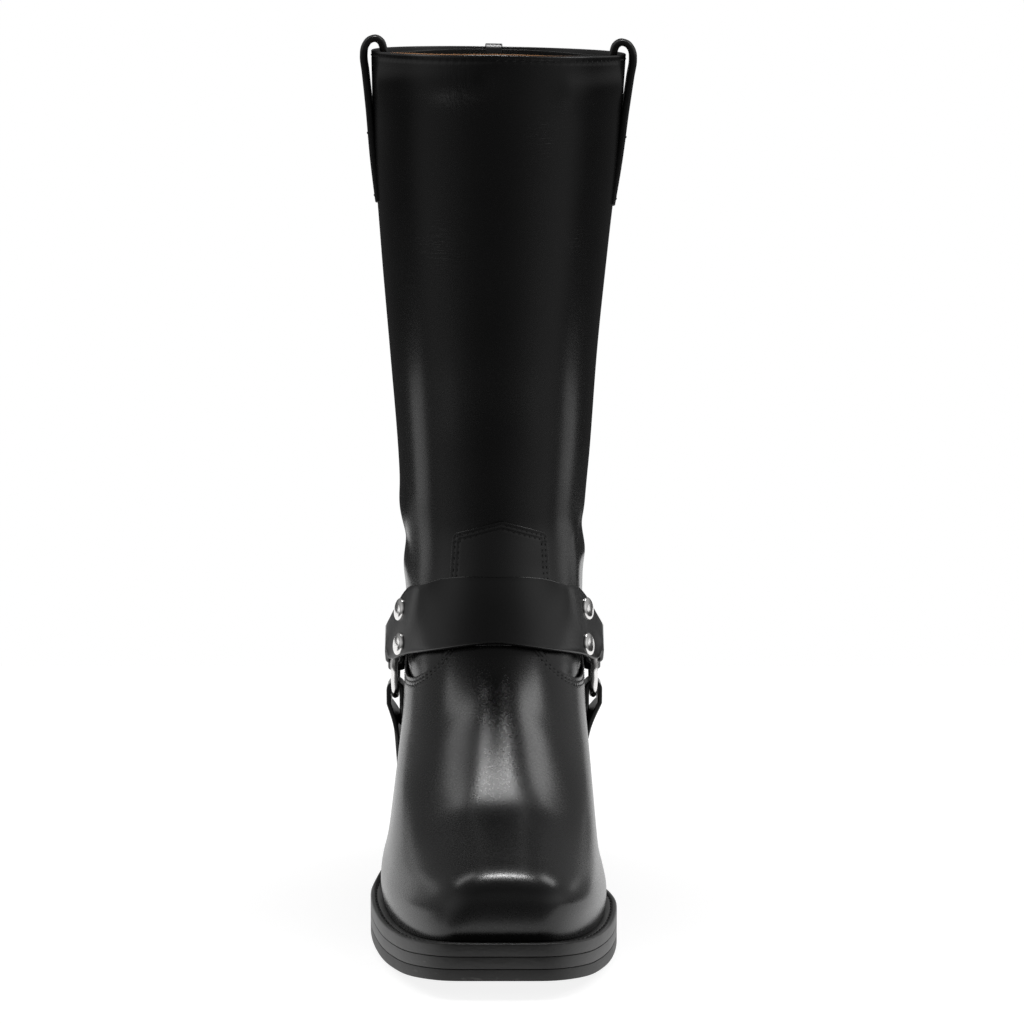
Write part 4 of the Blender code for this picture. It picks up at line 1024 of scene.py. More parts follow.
def patch_faces(rows, columns):
    """Faces of a closed patch: its outer grid, its inner grid turned round, and a strip along the rim."""
    count = rows * columns
    index = np.arange(count).reshape(rows, columns)
    rim = np.concatenate([index[0, :-1], index[:-1, -1], index[-1, :0:-1], index[:0:-1, 0]])
    after = np.roll(rim, -1)
    cells = grid_cells(rows, columns)
    return [cells, cells[:, ::-1] + count, np.stack([after, rim, rim + count, after + count], axis=1)]


add_tongue()

# %% [markdown]
# ## Lining and insole
#
# Inside, the boot is lined with pale leather. A black facing covers it below the collar, and its tan
# cut edge shows above the collar's fold in front. The lining could be a copy of the shaft made smaller,
# but a thin shell at a constant distance behind the leather stays clear of it everywhere. The insole's
# solid is right as it is.

# %% Lining
LINING_COLUMNS = 300
LINING_ROWS = 70
LINING_GAP = 1.25
LINING_THICKNESS = 0.7
LIP_FRONT = 0.15
LIP_SIDES = -2.6
LIP_BACK = -1.5
TO_SIDES = (0.2, 0.6)
TO_BACK = (0.72, 0.96)
LINING_FOOT_V = 4.0
LINING_CROWDING = 1.5


def lining_face(u, v):
    """The lining's outer face: behind the shaft's own surface by the shaft's thickness."""
    return shaft_face(u, np.minimum(v, COLLAR_V)) - LINING_GAP


def add_lining():
    """Rows up the outer face, over a thin top edge that stands out in front, and down the inner face."""
    u = np.arange(LINING_COLUMNS) / LINING_COLUMNS
    share = from_front(u)
    to_sides = (LIP_SIDES - LIP_FRONT) * ease(*TO_SIDES, share)
    to_back = (LIP_BACK - LIP_SIDES) * ease(*TO_BACK, share)
    lip = LIP_FRONT + to_sides + to_back
    up = 1 - (1 - np.linspace(0.0, 1.0, LINING_ROWS)[:, None]) ** LINING_CROWDING
    v = LINING_FOOT_V + up * (COLLAR_V + lip - LINING_FOOT_V)
    outer = last.at(u, v, lining_face(u, v))
    inner = last.at(u, v[::-1], lining_face(u, v[::-1]) - LINING_THICKNESS)
    rows = np.concatenate([outer, inner])
    cells = grid_cells(len(rows), LINING_COLUMNS, close_rows=True, close_columns=True)
    add_piece("lining", rows, [cells], lining_leather, "black_leather", ["upper"])


add_lining()
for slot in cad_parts["insole"].material_slots:
    slot.material = insole_leather
print("insole: the solid itself, in", insole_leather.name)

# %% [markdown]
# ## Sole layers
#
# Outsole, midsole and welt share one outline and are glued and sewn together. A Bevel modifier could
# round their edges. Here each layer is a side profile with rounded edges, carried round that outline,
# because the roundings then stay even at the toe. Thin dark gaps remain between the layers, and the
# welt's shelf has a channel for its stitches.

# %% Sole layers
SOLE_HALF_COUNT = 240
EDGE_ROUND = 0.3
WELT_ROUND = 0.8
SEAM_CLOSE = 0.16
FLAT_INSET = 3.0


def whole_outline(ring):
    """A ring's closed outline at even points: its lateral half, then its medial one."""
    left, right = (half_outline(ring, side, BALL_SKEW) for side in (-1, 1))
    return closed_outline(left, right, SOLE_HALF_COUNT)


sole_x, sole_y = whole_outline(SOLE_OUTLINE)


def drawn_in(x, y, inset):
    """A closed line drawn in by a distance: each point moves against the line's outward normal."""
    along_x = np.roll(x, -1) - np.roll(x, 1)
    along_y = np.roll(y, -1) - np.roll(y, 1)
    length = np.hypot(along_x, along_y)
    return x - along_y / length * inset, y + along_x / length * inset


def sole_loop(inset, height):
    """The sole's outline drawn in by an inset, at a height over the tread."""
    x, y = drawn_in(sole_x, sole_y, inset)
    return np.stack([x, y, tread(y) + height], axis=1)


def layer_profile(low, high, upper_round=EDGE_ROUND):
    """A layer's side from its underside to its top as inset and height, with two quarter circles."""
    bend = np.linspace(0.0, np.pi / 2, 5)
    inset = 1 - np.sin(bend)
    rise = 1 - np.cos(bend)
    side = np.concatenate([[FLAT_INSET], EDGE_ROUND * inset, upper_round * inset[::-1], [FLAT_INSET]])
    height = np.concatenate([[low], low + EDGE_ROUND * rise, high - upper_round * rise[::-1], [high]])
    return list(zip(side, height))


def cap_strips(half_count):
    """Faces across a closed outline from its left to its right side, seen from above."""
    i = np.arange(1, half_count - 1)
    far = 2 * half_count - i
    quads = np.stack([i, i + 1, far - 1, far], axis=1)
    ends = np.array([[0, 1, 2 * half_count - 1], [half_count - 1, half_count, half_count + 1]])
    return quads, ends


def add_sole_layer(name, low, high, material, slot):
    """A closed plate: the profile's loops, and strips across its top and its underside."""
    loops = np.array([sole_loop(inset, height) for inset, height in layer_profile(low, high)])
    count = 2 * SOLE_HALF_COUNT
    quads, ends = cap_strips(SOLE_HALF_COUNT)
    top = (len(loops) - 1) * count
    sides = grid_cells(len(loops), count, close_columns=True)
    faces = [sides, quads + top, ends + top, quads[:, ::-1], ends[:, ::-1]]
    add_piece(name, loops, faces, material, slot, [name])


MIDSOLE_TOP = MIDSOLE_FOOT + MIDSOLE_HEIGHT
MIDSOLE_SPAN = (MIDSOLE_FOOT - SEAM_CLOSE, MIDSOLE_TOP + SEAM_CLOSE)
add_sole_layer("outsole", 0.0, OUTSOLE_HEIGHT + SEAM_CLOSE, sole_rubber, "black_rubber")
add_sole_layer("midsole", *MIDSOLE_SPAN, sole_edge, "stack_leather")

# %% Welt
WELT_TOP = WELT_FOOT + WELT_HEIGHT
WELT_CHANNEL = 2.3
CHANNEL_DEPTH = 0.4
CHANNEL_HALF_WIDTH = 0.8
WELT_INNER_INSET = 2.9
feather_x, feather_y = whole_outline(RINGS[0])


def add_welt():
    """A closed strip: its outer side, its shelf with the stitch channel, and its hidden inner side."""
    shelf = np.linspace(WELT_CHANNEL - CHANNEL_HALF_WIDTH, WELT_CHANNEL + CHANNEL_HALF_WIDTH, 9)
    dip = CHANNEL_DEPTH * np.cos((shelf - WELT_CHANNEL) / CHANNEL_HALF_WIDTH * np.pi / 2) ** 2
    side = layer_profile(WELT_FOOT - SEAM_CLOSE, WELT_TOP, WELT_ROUND)[:-1]
    profile = side + list(zip(shelf, WELT_TOP - dip))
    loops = [sole_loop(inset, height) for inset, height in profile]
    inner_x, inner_y = drawn_in(feather_x, feather_y, WELT_INNER_INSET)
    for height in (WELT_TOP, WELT_FOOT):
        loops.append(np.stack([inner_x, inner_y, tread(inner_y) + height], axis=1))
    cells = grid_cells(len(loops), 2 * SOLE_HALF_COUNT, close_rows=True, close_columns=True)
    add_piece("welt", loops, [cells], sole_edge, "black_leather", ["welt"])


add_welt()

# %% [markdown]
# ## The heel
#
# The photograph hides the heel. It is a stacked block of five lifts with a rubber top lift, drawn in a
# little towards the floor. Five plates could be stacked, but on a finished heel the joints are only
# fine grooves, so one block with grooves is closer to it.

# %% Heel
HEEL_BREAST_Y = 72.0
TOP_LIFT_HEIGHT = 6.0
HEEL_GAP = 0.3
HEEL_BACK_TAPER = 4.0
HEEL_SIDE_TAPER = 2.2
HEEL_BREAST_TAPER = 1.5
HEEL_STATIONS = 70
HEEL_LIFTS = 5
HEEL_LEVELS = 81
HEEL_DROPS = (0.9, 0.62, 0.0)
LIFT_GROOVE = 0.4
GROOVE_SHARE = 0.016
TOP_LIFT_DROP = 0.1
heel_share = np.sin(np.linspace(0.004, 1.0, HEEL_STATIONS) * np.pi / 2)
heel_y = HEEL_Y - (1 - np.sqrt(1 - heel_share**2)) * (HEEL_Y - HEEL_BREAST_Y)
heel_sides = [half_outline(SOLE_OUTLINE, side, BALL_SKEW) for side in (-1, 1)]
heel_left, heel_right = [np.interp(-heel_y, -y, x) for x, y in heel_sides]


def heel_loop(height, drop, inset):
    """The heel's outline at one level: drop is 0 at the sole and 1 at the floor, where it is smallest."""
    along = (heel_y - HEEL_BREAST_Y) / (HEEL_Y - HEEL_BREAST_Y)
    y = heel_y - drop * (HEEL_BACK_TAPER * along - HEEL_BREAST_TAPER * (1 - along))
    narrowed = 1 - HEEL_SIDE_TAPER / np.abs(heel_left).max() * drop
    x = np.concatenate([heel_left, heel_right[::-1]]) * narrowed
    x, y = drawn_in(x, np.concatenate([y, y[::-1]]), inset)
    return np.stack([x, y, np.concatenate([height, height[::-1]])], axis=1)


def add_heel_block(name, levels, material, slot):
    """A closed block from a stack of heel outlines, with strips across its top and its underside."""
    loops = np.array([heel_loop(*level) for level in levels])
    count = 2 * HEEL_STATIONS
    i = np.arange(HEEL_STATIONS - 1)
    cap = np.stack([i, i + 1, count - 2 - i, count - 1 - i], axis=1)
    top = (len(loops) - 1) * count
    faces = [grid_cells(len(loops), count, close_columns=True), cap + top, cap[:, ::-1]]
    add_piece(name, loops, faces, material, slot, [name], sharp=50.0)


def add_heel():
    """The lifts' levels follow the heel's curve, and each joint between lifts is a bell shaped groove."""
    under = np.full_like(heel_y, TOP_LIFT_HEIGHT + HEEL_GAP)
    full = tread(heel_y) - HEEL_GAP
    shares = np.linspace(0.0, 1.0, HEEL_LEVELS)
    drops = curve_through((0.0, 0.5, 1.0), HEEL_DROPS, shares)
    joints = np.arange(HEEL_LIFTS + 1) / HEEL_LIFTS
    grooves = LIFT_GROOVE * np.exp(-(((shares[:, None] - joints) / GROOVE_SHARE) ** 2)).sum(axis=1)
    heights = under + (full - under) * shares[:, None]
    add_heel_block("heel", zip(heights, drops, grooves), heel_stack, "stack_leather")
    profile = layer_profile(0.0, TOP_LIFT_HEIGHT)
    drop_of = TOP_LIFT_DROP / TOP_LIFT_HEIGHT
    lift = [(np.full_like(heel_y, z), 1.0 - drop_of * z, inset) for inset, z in profile]
    add_heel_block("heel_top_lift", lift, sole_rubber, "black_rubber")


add_heel()

# %% [markdown]
# ## Straps
#
# The harness has three straps, two pull straps loop over the collar, and a thin strip covers the back
# seam. A flat sheet could be bent with curves. Here a strap is a rounded rectangle carried along the
# rows of its middle surface, because its thickness and its edges then stay even. Each row has three
# points, and the strap's face follows the parabola through them. The harness straps fold round the wire
# of each ring and lie back behind themselves, as a saddler would sew them.

# %% Strap skin
ACROSS = np.array([-1.0, 0.0, 1.0])
FACE_POINTS = 17
CORNER_POINTS = 5


def through(rows, count):
    """Rows of points as one smooth curve at count even distances: a spline whose slopes join neighbours."""
    rows = np.asarray(rows, float)
    middle = rows.reshape(len(rows), -1, 3).mean(axis=1)
    knots = run_along(middle)
    at = np.linspace(0.0, knots[-1], count)
    flat = rows.reshape(len(rows), -1)
    slope = np.gradient(flat, knots, axis=0)
    piece = np.clip(np.searchsorted(knots, at, side="right") - 1, 0, len(knots) - 2)
    step = np.diff(knots)[piece][:, None]
    t = (at - knots[piece])[:, None] / step
    return cubic(flat, slope, piece, step, t).reshape((count,) + rows.shape[1:])


def through_softly(rows, count):
    """The same, softened along its length so that the strap's edges don't waver from row to row."""
    rows = np.asarray(rows, float)
    length = run_along(rows.mean(axis=1))[-1]
    fine = through(rows, int(length))
    soft = np.stack([soften(column) for column in fine.reshape(len(fine), -1).T], axis=1)
    return through(soft.reshape(fine.shape), count)


def strap_section(thickness, corner):
    """A rounded rectangle as three lists: the share across, the inset from the edge, and the height."""
    bend = np.linspace(0.0, np.pi / 2, CORNER_POINTS)
    arc_inset = corner * (1 - np.sin(bend))
    arc_height = thickness / 2 - corner * (1 - np.cos(bend))
    face = np.linspace(-1.0, 1.0, FACE_POINTS)[1:-1]
    edge = np.ones(2 * CORNER_POINTS)
    share = np.concatenate([face, edge, face[::-1], -edge])
    inset = np.concatenate([np.full(len(face), corner), arc_inset, arc_inset[::-1]] * 2)
    half = np.concatenate([np.full(len(face), thickness / 2), arc_height, -arc_height[::-1]])
    return share, inset, np.concatenate([half, -half])


def strap_skin(middle, thickness, corner):
    """Points of a strap: the section's shares across each row's parabola, moved along the face's normal."""
    left, centre, right = (middle[:, i, None] for i in range(3))
    half_width = np.linalg.norm(right - left, axis=-1) / 2
    share, inset, height = strap_section(thickness, corner)
    across = (share * (1 - inset / half_width))[..., None]
    reach = (right - left) / 2
    sag = (left + right) / 2 - centre
    face = centre + reach * across + sag * across**2
    normal = unit(np.cross(np.gradient(face, axis=0), reach + 2 * sag * across))
    return face + normal * height[:, None]


def add_strap(name, middle, thickness, corner, replaces=None):
    """A closed strap: its skin, and a flat cap at each end."""
    skin = strap_skin(middle, thickness, corner)
    rows, columns = skin.shape[:2]
    sides = grid_cells(rows, columns, close_columns=True)[:, ::-1]
    first = np.arange(columns)
    caps = np.stack([first, first[::-1] + (rows - 1) * columns])
    add_piece(name, skin, [sides, caps], strap_leather, "strap_leather", [replaces or name])


# %% Harness sizes
SIDES = (("lateral", -1), ("medial", 1))
STRAP_THICKNESS = 2.0
STRAP_CORNER = 0.65
STRAP_CLEAR = 0.6
RING_RADIUS = 14.5
RING_WIRE = 1.5
RING_Y = 49.0
RING_Z = 93.0
FOLD_GAP = 0.3
FOLD_HALF_WIDTH = 7.0
FOLD_START = 3.0
FOLD_SLACK = 1.2
FOLD_LENGTH = 12.0
FOLD_BENDS = 15


class RingSeat:
    """Where a harness ring hangs on one side, and the straight and folded rows of a strap that holds it."""

    def __init__(self, side):
        u, v = last.nearest(side, RING_Y, RING_Z)
        self.half_fold = RING_WIRE + FOLD_GAP + STRAP_THICKNESS / 2
        stand = STRAP_CLEAR + STRAP_THICKNESS / 2 + self.half_fold
        self.centre = last.at(u, v, stand)
        self.out = last.normal(u, v)

    def row(self, angle, along, out, half_width=FOLD_HALF_WIDTH):
        """A strap's cross row: along from the ring's centre at an angle in its plane, and out from it."""
        turn = np.radians(angle)
        ahead = np.array([0.0, np.cos(turn), np.sin(turn)])
        ahead = unit(ahead - self.out * np.dot(ahead, self.out))
        wide = np.array([0.0, np.sin(turn), -np.cos(turn)])
        wide = unit(wide - self.out * np.dot(wide, self.out))
        return self.centre + ahead * along + self.out * out + wide * ACROSS[:, None] * half_width

    def fold(self, angle):
        """The strap's end: in along the outside, a half circle round the wire, and back behind it."""
        sag = RING_RADIUS - np.sqrt(RING_RADIUS**2 - FOLD_HALF_WIDTH**2)
        turn_at = RING_RADIUS - sag - FOLD_SLACK
        rows = [self.row(angle, RING_RADIUS + FOLD_START, self.half_fold)]
        for bend in np.linspace(0.0, np.pi, FOLD_BENDS):
            along = turn_at - self.half_fold * np.sin(bend)
            rows.append(self.row(angle, along, self.half_fold * np.cos(bend)))
        rows.append(self.row(angle, RING_RADIUS + FOLD_START, -self.half_fold))
        rows.append(self.row(angle, RING_RADIUS + FOLD_LENGTH, -self.half_fold))
        return rows


ring_seats = {side: RingSeat(side) for name, side in SIDES}


def add_harness_strap(name, angle, between):
    """A strap from the lateral ring to the medial one: a fold, the rows between, and a fold."""
    lateral, medial = (ring_seats[side].fold(angle) for side in (-1, 1))
    middle = np.concatenate([lateral[:0:-1], between, medial[1:]])
    add_strap(name, middle, STRAP_THICKNESS, STRAP_CORNER)


def strap_start(side, angle):
    """The row where a strap leaves a ring at an angle."""
    return ring_seats[side].fold(angle)[0]


# %% Instep strap
INSTEP_ROWS = 200
INSTEP_HALF_WIDTH = 15.0
INSTEP_ANGLE = 136.0
INSTEP_V = 175.0
INSTEP_DROP = 3.0
INSTEP_SPREAD = 12.0
INSTEP_CONTACT = 0.13
INSTEP_BRIDGE = (33.2, 16.0, 117.0)
INSTEP_LEAN = 0.22
RIVET_MIDDLE = (40.2, 29.0, 112.2)


def leaning_row(side, foot):
    """A straight cross row through foot whose upper end leans in."""
    foot = np.array(foot) * (side, 1.0, 1.0)
    return foot + ACROSS[:, None] * INSTEP_HALF_WIDTH * unit([-side * INSTEP_LEAN, 0.0, 1.0])


def instep_rows():
    """The strap's middle surface: on the tongue in front, then clear of the ankle to both rings."""
    share = np.linspace(-INSTEP_CONTACT, INSTEP_CONTACT, 5)[:, None]
    middle = INSTEP_V - INSTEP_DROP * (share / INSTEP_CONTACT) ** 2
    half_width = INSTEP_HALF_WIDTH + INSTEP_SPREAD * np.abs(share)
    stand = STRAP_CLEAR + TONGUE_LOW + STRAP_THICKNESS / 2
    on_foot = last.at(0.5 + share / 2, middle + ACROSS * half_width, stand)
    lateral = [strap_start(-1, INSTEP_ANGLE), leaning_row(-1, RIVET_MIDDLE), leaning_row(-1, INSTEP_BRIDGE)]
    medial = [leaning_row(1, INSTEP_BRIDGE), leaning_row(1, RIVET_MIDDLE), strap_start(1, INSTEP_ANGLE)]
    return through_softly([*lateral, *on_foot, *medial], INSTEP_ROWS)


instep_middle = instep_rows()
add_harness_strap("instep_strap", INSTEP_ANGLE, instep_middle)

# %% Heel strap and sole strap
HEEL_STRAP_HALF_WIDTH = 12.0
HEEL_STRAP_ANGLE = 6.0
HEEL_STRAP_RISE = 8.0
HEEL_STRAP_REACH = 0.36
HEEL_STRAP_WIDENS = (0.3, 0.8)
SOLE_STRAP_HALF_WIDTH = 11.0
SOLE_STRAP_ANGLE = -92.0
SOLE_STRAP_Y = 47.0
SOLE_STRAP_HANG = ((68.0, 1.6), (58.0, 0.6), (49.0, 0.0))
HANG_ROWS = 40
STAND = STRAP_CLEAR + STRAP_THICKNESS / 2


def heel_strap_rows():
    """The strap from ring to ring behind the heel: rows on the counter at a slowly rising height."""
    rows = [strap_start(-1, HEEL_STRAP_ANGLE)]
    for turn in np.linspace(-HEEL_STRAP_REACH, HEEL_STRAP_REACH, 13):
        share = 1 - abs(turn)
        side = -1 if turn < 0 else 1
        height = RING_Z + HEEL_STRAP_RISE * ease(0.5, 1.0, share)
        half_width = HEEL_STRAP_HALF_WIDTH * ease(*HEEL_STRAP_WIDENS, share)
        rows.append(last.level(0.5 + side * share / 2, height - ACROSS * half_width, STAND))
    return through_softly([*rows, strap_start(1, HEEL_STRAP_ANGLE)], INSTEP_ROWS)


def sole_strap_side(side, y, edge):
    """One half of the stirrup: down from the ring past the welt, then a quarter circle under the sole."""
    rows = []
    for height, extra in SOLE_STRAP_HANG:
        beside = np.array([abs(last.at(*last.nearest(side, at_y, height))[0]) for at_y in y])
        rows.append((np.maximum(beside, edge) + STAND + extra, np.full(len(ACROSS), height)))
    rows.append((edge + STAND, tread(y) + SEAT_RISE))
    hanging = [np.stack([side * x, y, z], axis=1) for x, z in rows]
    hang = through_softly([strap_start(side, SOLE_STRAP_ANGLE), *hanging], HANG_ROWS)
    bend = np.linspace(0.0, np.pi / 2, 10)[:, None]
    x = side * (edge + STAND * np.cos(bend))
    z = tread(y) - STAND * np.sin(bend)
    return np.concatenate([hang, np.stack([x, y + 0 * x, z], axis=2)])


def sole_strap_rows():
    """The stirrup strap: both sides, and straight rows under the arch between them."""
    y = SOLE_STRAP_Y - ACROSS * SOLE_STRAP_HALF_WIDTH
    halves = []
    for side in (-1, 1):
        edge_x, edge_y = half_outline(SOLE_OUTLINE, side, BALL_SKEW)
        halves.append(sole_strap_side(side, y, np.abs(np.interp(-y, -edge_y, edge_x))))
    left, right = halves[0][-1], halves[1][-1]
    share = np.linspace(0.0, 1.0, 22)[1:-1, None, None]
    under = left + (right - left) * share
    return np.concatenate([halves[0], under, halves[1][::-1]])


add_harness_strap("heel_strap", HEEL_STRAP_ANGLE, heel_strap_rows())
add_harness_strap("sole_strap", SOLE_STRAP_ANGLE, sole_strap_rows())

# %% Pull straps
PULL_THICKNESS = 2.6
PULL_HALF_WIDTH = 12.5
PULL_Y = 58.0
PULL_Z = 330.0
PULL_ROWS = 140
PULL_CORNER = 0.8
PullPoint = namedtuple("PullPoint", "rise out")
PULL_PATH = (
    PullPoint(-65.0, -0.3),
    PullPoint(-50.0, 0.5),
    PullPoint(-25.0, 1.7),
    PullPoint(-10.0, 2.9),
    PullPoint(-3.0, 3.5),
    PullPoint(1.8, 2.7),
    PullPoint(4.2, 0.8),
    PullPoint(4.7, -1.3),
    PullPoint(3.4, -3.6),
    PullPoint(-0.5, -5.0),
    PullPoint(-8.0, -4.6),
    PullPoint(-25.0, -4.5),
    PullPoint(-42.0, -4.5),
)


def pull_u(side, across):
    """Share of the way round at a distance across a pull strap, in half widths."""
    middle, _ = last.nearest(side, PULL_Y, PULL_Z)
    return middle + across * PULL_HALF_WIDTH / (2 * last.half_girth(COLLAR_V))


def add_pull_strap(name, side):
    """A loop: sewn flat on the shaft, up clear of it, over the collar and down the inside."""
    path = np.array([(0.0, point.out, point.rise) for point in PULL_PATH])
    out, rise = through(path[:, None, :], PULL_ROWS)[:, 0, 1:].T
    middle = last.at(pull_u(side, ACROSS), COLLAR_V + rise[:, None], out[:, None])
    add_strap(name, middle[:, ::-1], PULL_THICKNESS, PULL_CORNER)


for side_name, side in SIDES:
    add_pull_strap("pull_strap_" + side_name, side)

# %% Back strip
STRIP_HALF_WIDTH = 3.7
STRIP_THICKNESS = 1.0
STRIP_FOOT_V = 150.0
STRIP_ROWS = 200
STRIP_TOP_ROWS = 30
STRIP_BEND = 3.0
STRIP_CORNER = 0.3
STRIP_STAND = 0.3
STRIP_TOP = ((0.6, 0.4), (0.75, -0.6), (-0.6, -2.3), (-9.0, -2.7))


def back_strip_rows():
    """A strip up the back seam, over the collar's fold and down inside: rows of points across its width."""
    v = np.linspace(STRIP_FOOT_V, COLLAR_V - STRIP_BEND, STRIP_ROWS)
    u = ACROSS * STRIP_HALF_WIDTH / (2 * last.half_girth(v))[:, None]
    outside = last.at(u, v[:, None], shaft_offset(u, v[:, None]) + STRIP_STAND)
    over = [last.at(u[-1], COLLAR_V + rise, out) for rise, out in STRIP_TOP]
    return np.concatenate([outside, through([outside[-1], *over], STRIP_TOP_ROWS)[1:]])


add_strap("back_strip", back_strip_rows()[:, ::-1], STRIP_THICKNESS, STRIP_CORNER, "upper")

# %% [markdown]
# ## Rings and rivets
#
# The rings are bent from round wire: a circle carried round a circle. The rivets are shallow domes
# turned round an axis that stands square on the strap. Blender's own torus and sphere would do too, but
# these need no turning into place afterwards.

# %% Rings
RING_TURNS = 120
WIRE_TURNS = 28


def frame_of(axis):
    """Two directions square to an axis and to each other."""
    first = unit(np.cross(axis, [0.0, 0.0, 1.0]))
    return first, np.cross(axis, first)


def add_ring(name, seat_of_ring):
    """A torus: a small circle of the wire's radius, carried round a circle of the ring's radius."""
    first, second = frame_of(seat_of_ring.out)
    turn = np.linspace(0.0, 2 * np.pi, RING_TURNS, endpoint=False)[:, None, None]
    bend = np.linspace(0.0, 2 * np.pi, WIRE_TURNS, endpoint=False)[:, None]
    spoke = first * np.cos(turn) + second * np.sin(turn)
    reach = RING_RADIUS + RING_WIRE * np.cos(bend)
    points = seat_of_ring.centre + spoke * reach + seat_of_ring.out * RING_WIRE * np.sin(bend)
    cells = grid_cells(RING_TURNS, WIRE_TURNS, close_rows=True, close_columns=True)[:, ::-1]
    add_piece(name, points, [cells], nickel, "chrome", [name])


for side_name, side in SIDES:
    add_ring("ring_" + side_name, ring_seats[side])

# %% Rivets
RIVET_RADIUS = 4.8
RIVET_DOME = 1.3
RivetPlace = namedtuple("RivetPlace", "name y z")
RIVET_PLACES = (RivetPlace("lower", 23.0, 105.3), RivetPlace("upper", 29.0, 119.0))
RIVET_RIM = 0.25
RIVET_SINK = 0.8
RIVET_UNDERCUT = 0.1
RIVET_FULLNESS = 0.9
RIVET_TURNS = 56
RIVET_ROWS = 14


def rivet_places():
    """Name, foot and axis of each rivet: on the strap's face nearest to its place, along the normal there."""
    shares = np.linspace(-1.0, 1.0, 61)[:, None]
    left, centre, right = (instep_middle[:, i, None] for i in range(3))
    fine = centre + (right - left) / 2 * shares + ((left + right) / 2 - centre) * shares**2
    normal = unit(np.cross(np.gradient(fine, axis=1), np.gradient(fine, axis=0)))
    normal = normal * np.sign(-normal[len(fine) // 2, len(shares) // 2, 1])
    for side_name, side in SIDES:
        for place in RIVET_PLACES:
            off = (fine[..., 1] - place.y) ** 2 + (fine[..., 2] - place.z) ** 2
            at = np.unravel_index(np.argmin(np.where(fine[..., 0] * side > 0, off, np.inf)), off.shape)
            near = np.linalg.norm(fine - fine[at], axis=2) < RIVET_RADIUS + RIVET_RIM
            rise = ((fine[near] - fine[at]) @ normal[at]).max()
            foot = fine[at] + normal[at] * (rise + STRAP_THICKNESS / 2)
            yield side_name + "_" + place.name, foot, normal[at]


def add_rivet(name, foot, axis):
    """A quarter ellipse turned round its axis, on a short rounded rim that sinks into the strap."""
    bend = np.linspace(0.0, np.pi / 2, RIVET_ROWS)[:-1]
    dome = RIVET_RADIUS * np.cos(bend) ** RIVET_FULLNESS
    reach = np.concatenate([[RIVET_RADIUS - RIVET_UNDERCUT, RIVET_RADIUS], dome])
    rise = np.concatenate([[-RIVET_SINK, 0.0], RIVET_RIM + RIVET_DOME * np.sin(bend)])
    first, second = frame_of(axis)
    turn = np.linspace(0.0, 2 * np.pi, RIVET_TURNS, endpoint=False)[:, None]
    spoke = first * np.cos(turn) + second * np.sin(turn)
    rows = foot + spoke * reach[:, None, None] + axis * rise[:, None, None]
    crown = foot + axis * (RIVET_RIM + RIVET_DOME)
    points = np.concatenate([rows.reshape(-1, 3), [crown]])
    ring = np.arange(RIVET_TURNS)
    top = (len(rows) - 1) * RIVET_TURNS
    fan = np.stack([ring + top, np.roll(ring, -1) + top, np.full(RIVET_TURNS, len(points) - 1)], axis=1)
    sides = grid_cells(len(rows), RIVET_TURNS, close_columns=True)
    add_piece(name, points, [sides, fan, ring[None, ::-1]], nickel, "chrome", [name])


for place, foot, axis in rivet_places():
    add_rivet("rivet_" + place, foot, axis)

# %% [markdown]
# ## Stitches
#
# Thread shows as short raised ends between holes. It could be painted on with a bump pattern, which
# looks flat from the side. Here each stitch is a small six sided spindle whose ends dip into the
# leather. All stitches of one seam are computed together as arrays and make one piece.

# %% Stitch helper
SPINDLE_SIDES = 6
SPINDLE_PLACES = (-0.7, 0.0, 0.7)
SPINDLE_DIP = 0.8


def even_places(points, normals, pitch, closed):
    """Centres, directions and normals at even distances along a line."""
    if closed:
        points = np.concatenate([points, points[:1]])
        normals = np.concatenate([normals, normals[:1]])
    run = run_along(points)
    count = max(int(round(run[-1] / pitch)), 1)
    at = (np.arange(count) + 0.5) * run[-1] / count

    def read(values, place):
        """Values between the line's points, at places along it."""
        return np.stack([np.interp(place, run, column) for column in values.T], axis=1)

    ahead = unit(read(points, at + 0.3) - read(points, at - 0.3))
    return read(points, at), ahead, unit(read(normals, at))


def add_stitches(name, lines, pitch, length, thickness, closed=False, slot="black_leather"):
    """Spindles along lines of points and normals: the radius is the root of one less the place squared."""
    found = [even_places(points, normals, pitch, closed) for points, normals in lines]
    centre, ahead, normal = (np.concatenate(parts)[:, None, None] for parts in zip(*found))
    side = unit(np.cross(normal, ahead))
    place = np.array(SPINDLE_PLACES)[:, None, None]
    angle = np.linspace(0.0, 2 * np.pi, SPINDLE_SIDES, endpoint=False)[:, None]
    radius = thickness / 2 * np.sqrt(1 - place**2)
    rise = radius * np.cos(angle) - thickness * SPINDLE_DIP * place**2
    rings = centre + ahead * place * length / 2 + normal * rise + side * radius * np.sin(angle)
    ends = [(centre + ahead * end * length / 2 - normal * thickness)[:, :, 0] for end in (-1, 1)]
    skin = len(SPINDLE_PLACES) * SPINDLE_SIDES
    points = np.concatenate([rings.reshape(len(centre), skin, 3), *ends], axis=1)
    base = np.arange(len(centre))[:, None, None] * (skin + len(ends))
    quads = grid_cells(len(SPINDLE_PLACES), SPINDLE_SIDES, close_columns=True)[:, ::-1]
    j = np.arange(SPINDLE_SIDES)
    after = np.roll(j, -1)
    last_ring = skin - SPINDLE_SIDES
    near_end = np.stack([after, j, np.full_like(j, skin)], axis=1)
    far_end = np.stack([j + last_ring, after + last_ring, np.full_like(j, skin + 1)], axis=1)
    fans = np.concatenate([near_end, far_end])
    faces = [(quads + base).reshape(-1, 4), (fans[:, ::-1] + base).reshape(-1, 3)]
    add_piece(name, points, faces, thread, slot)


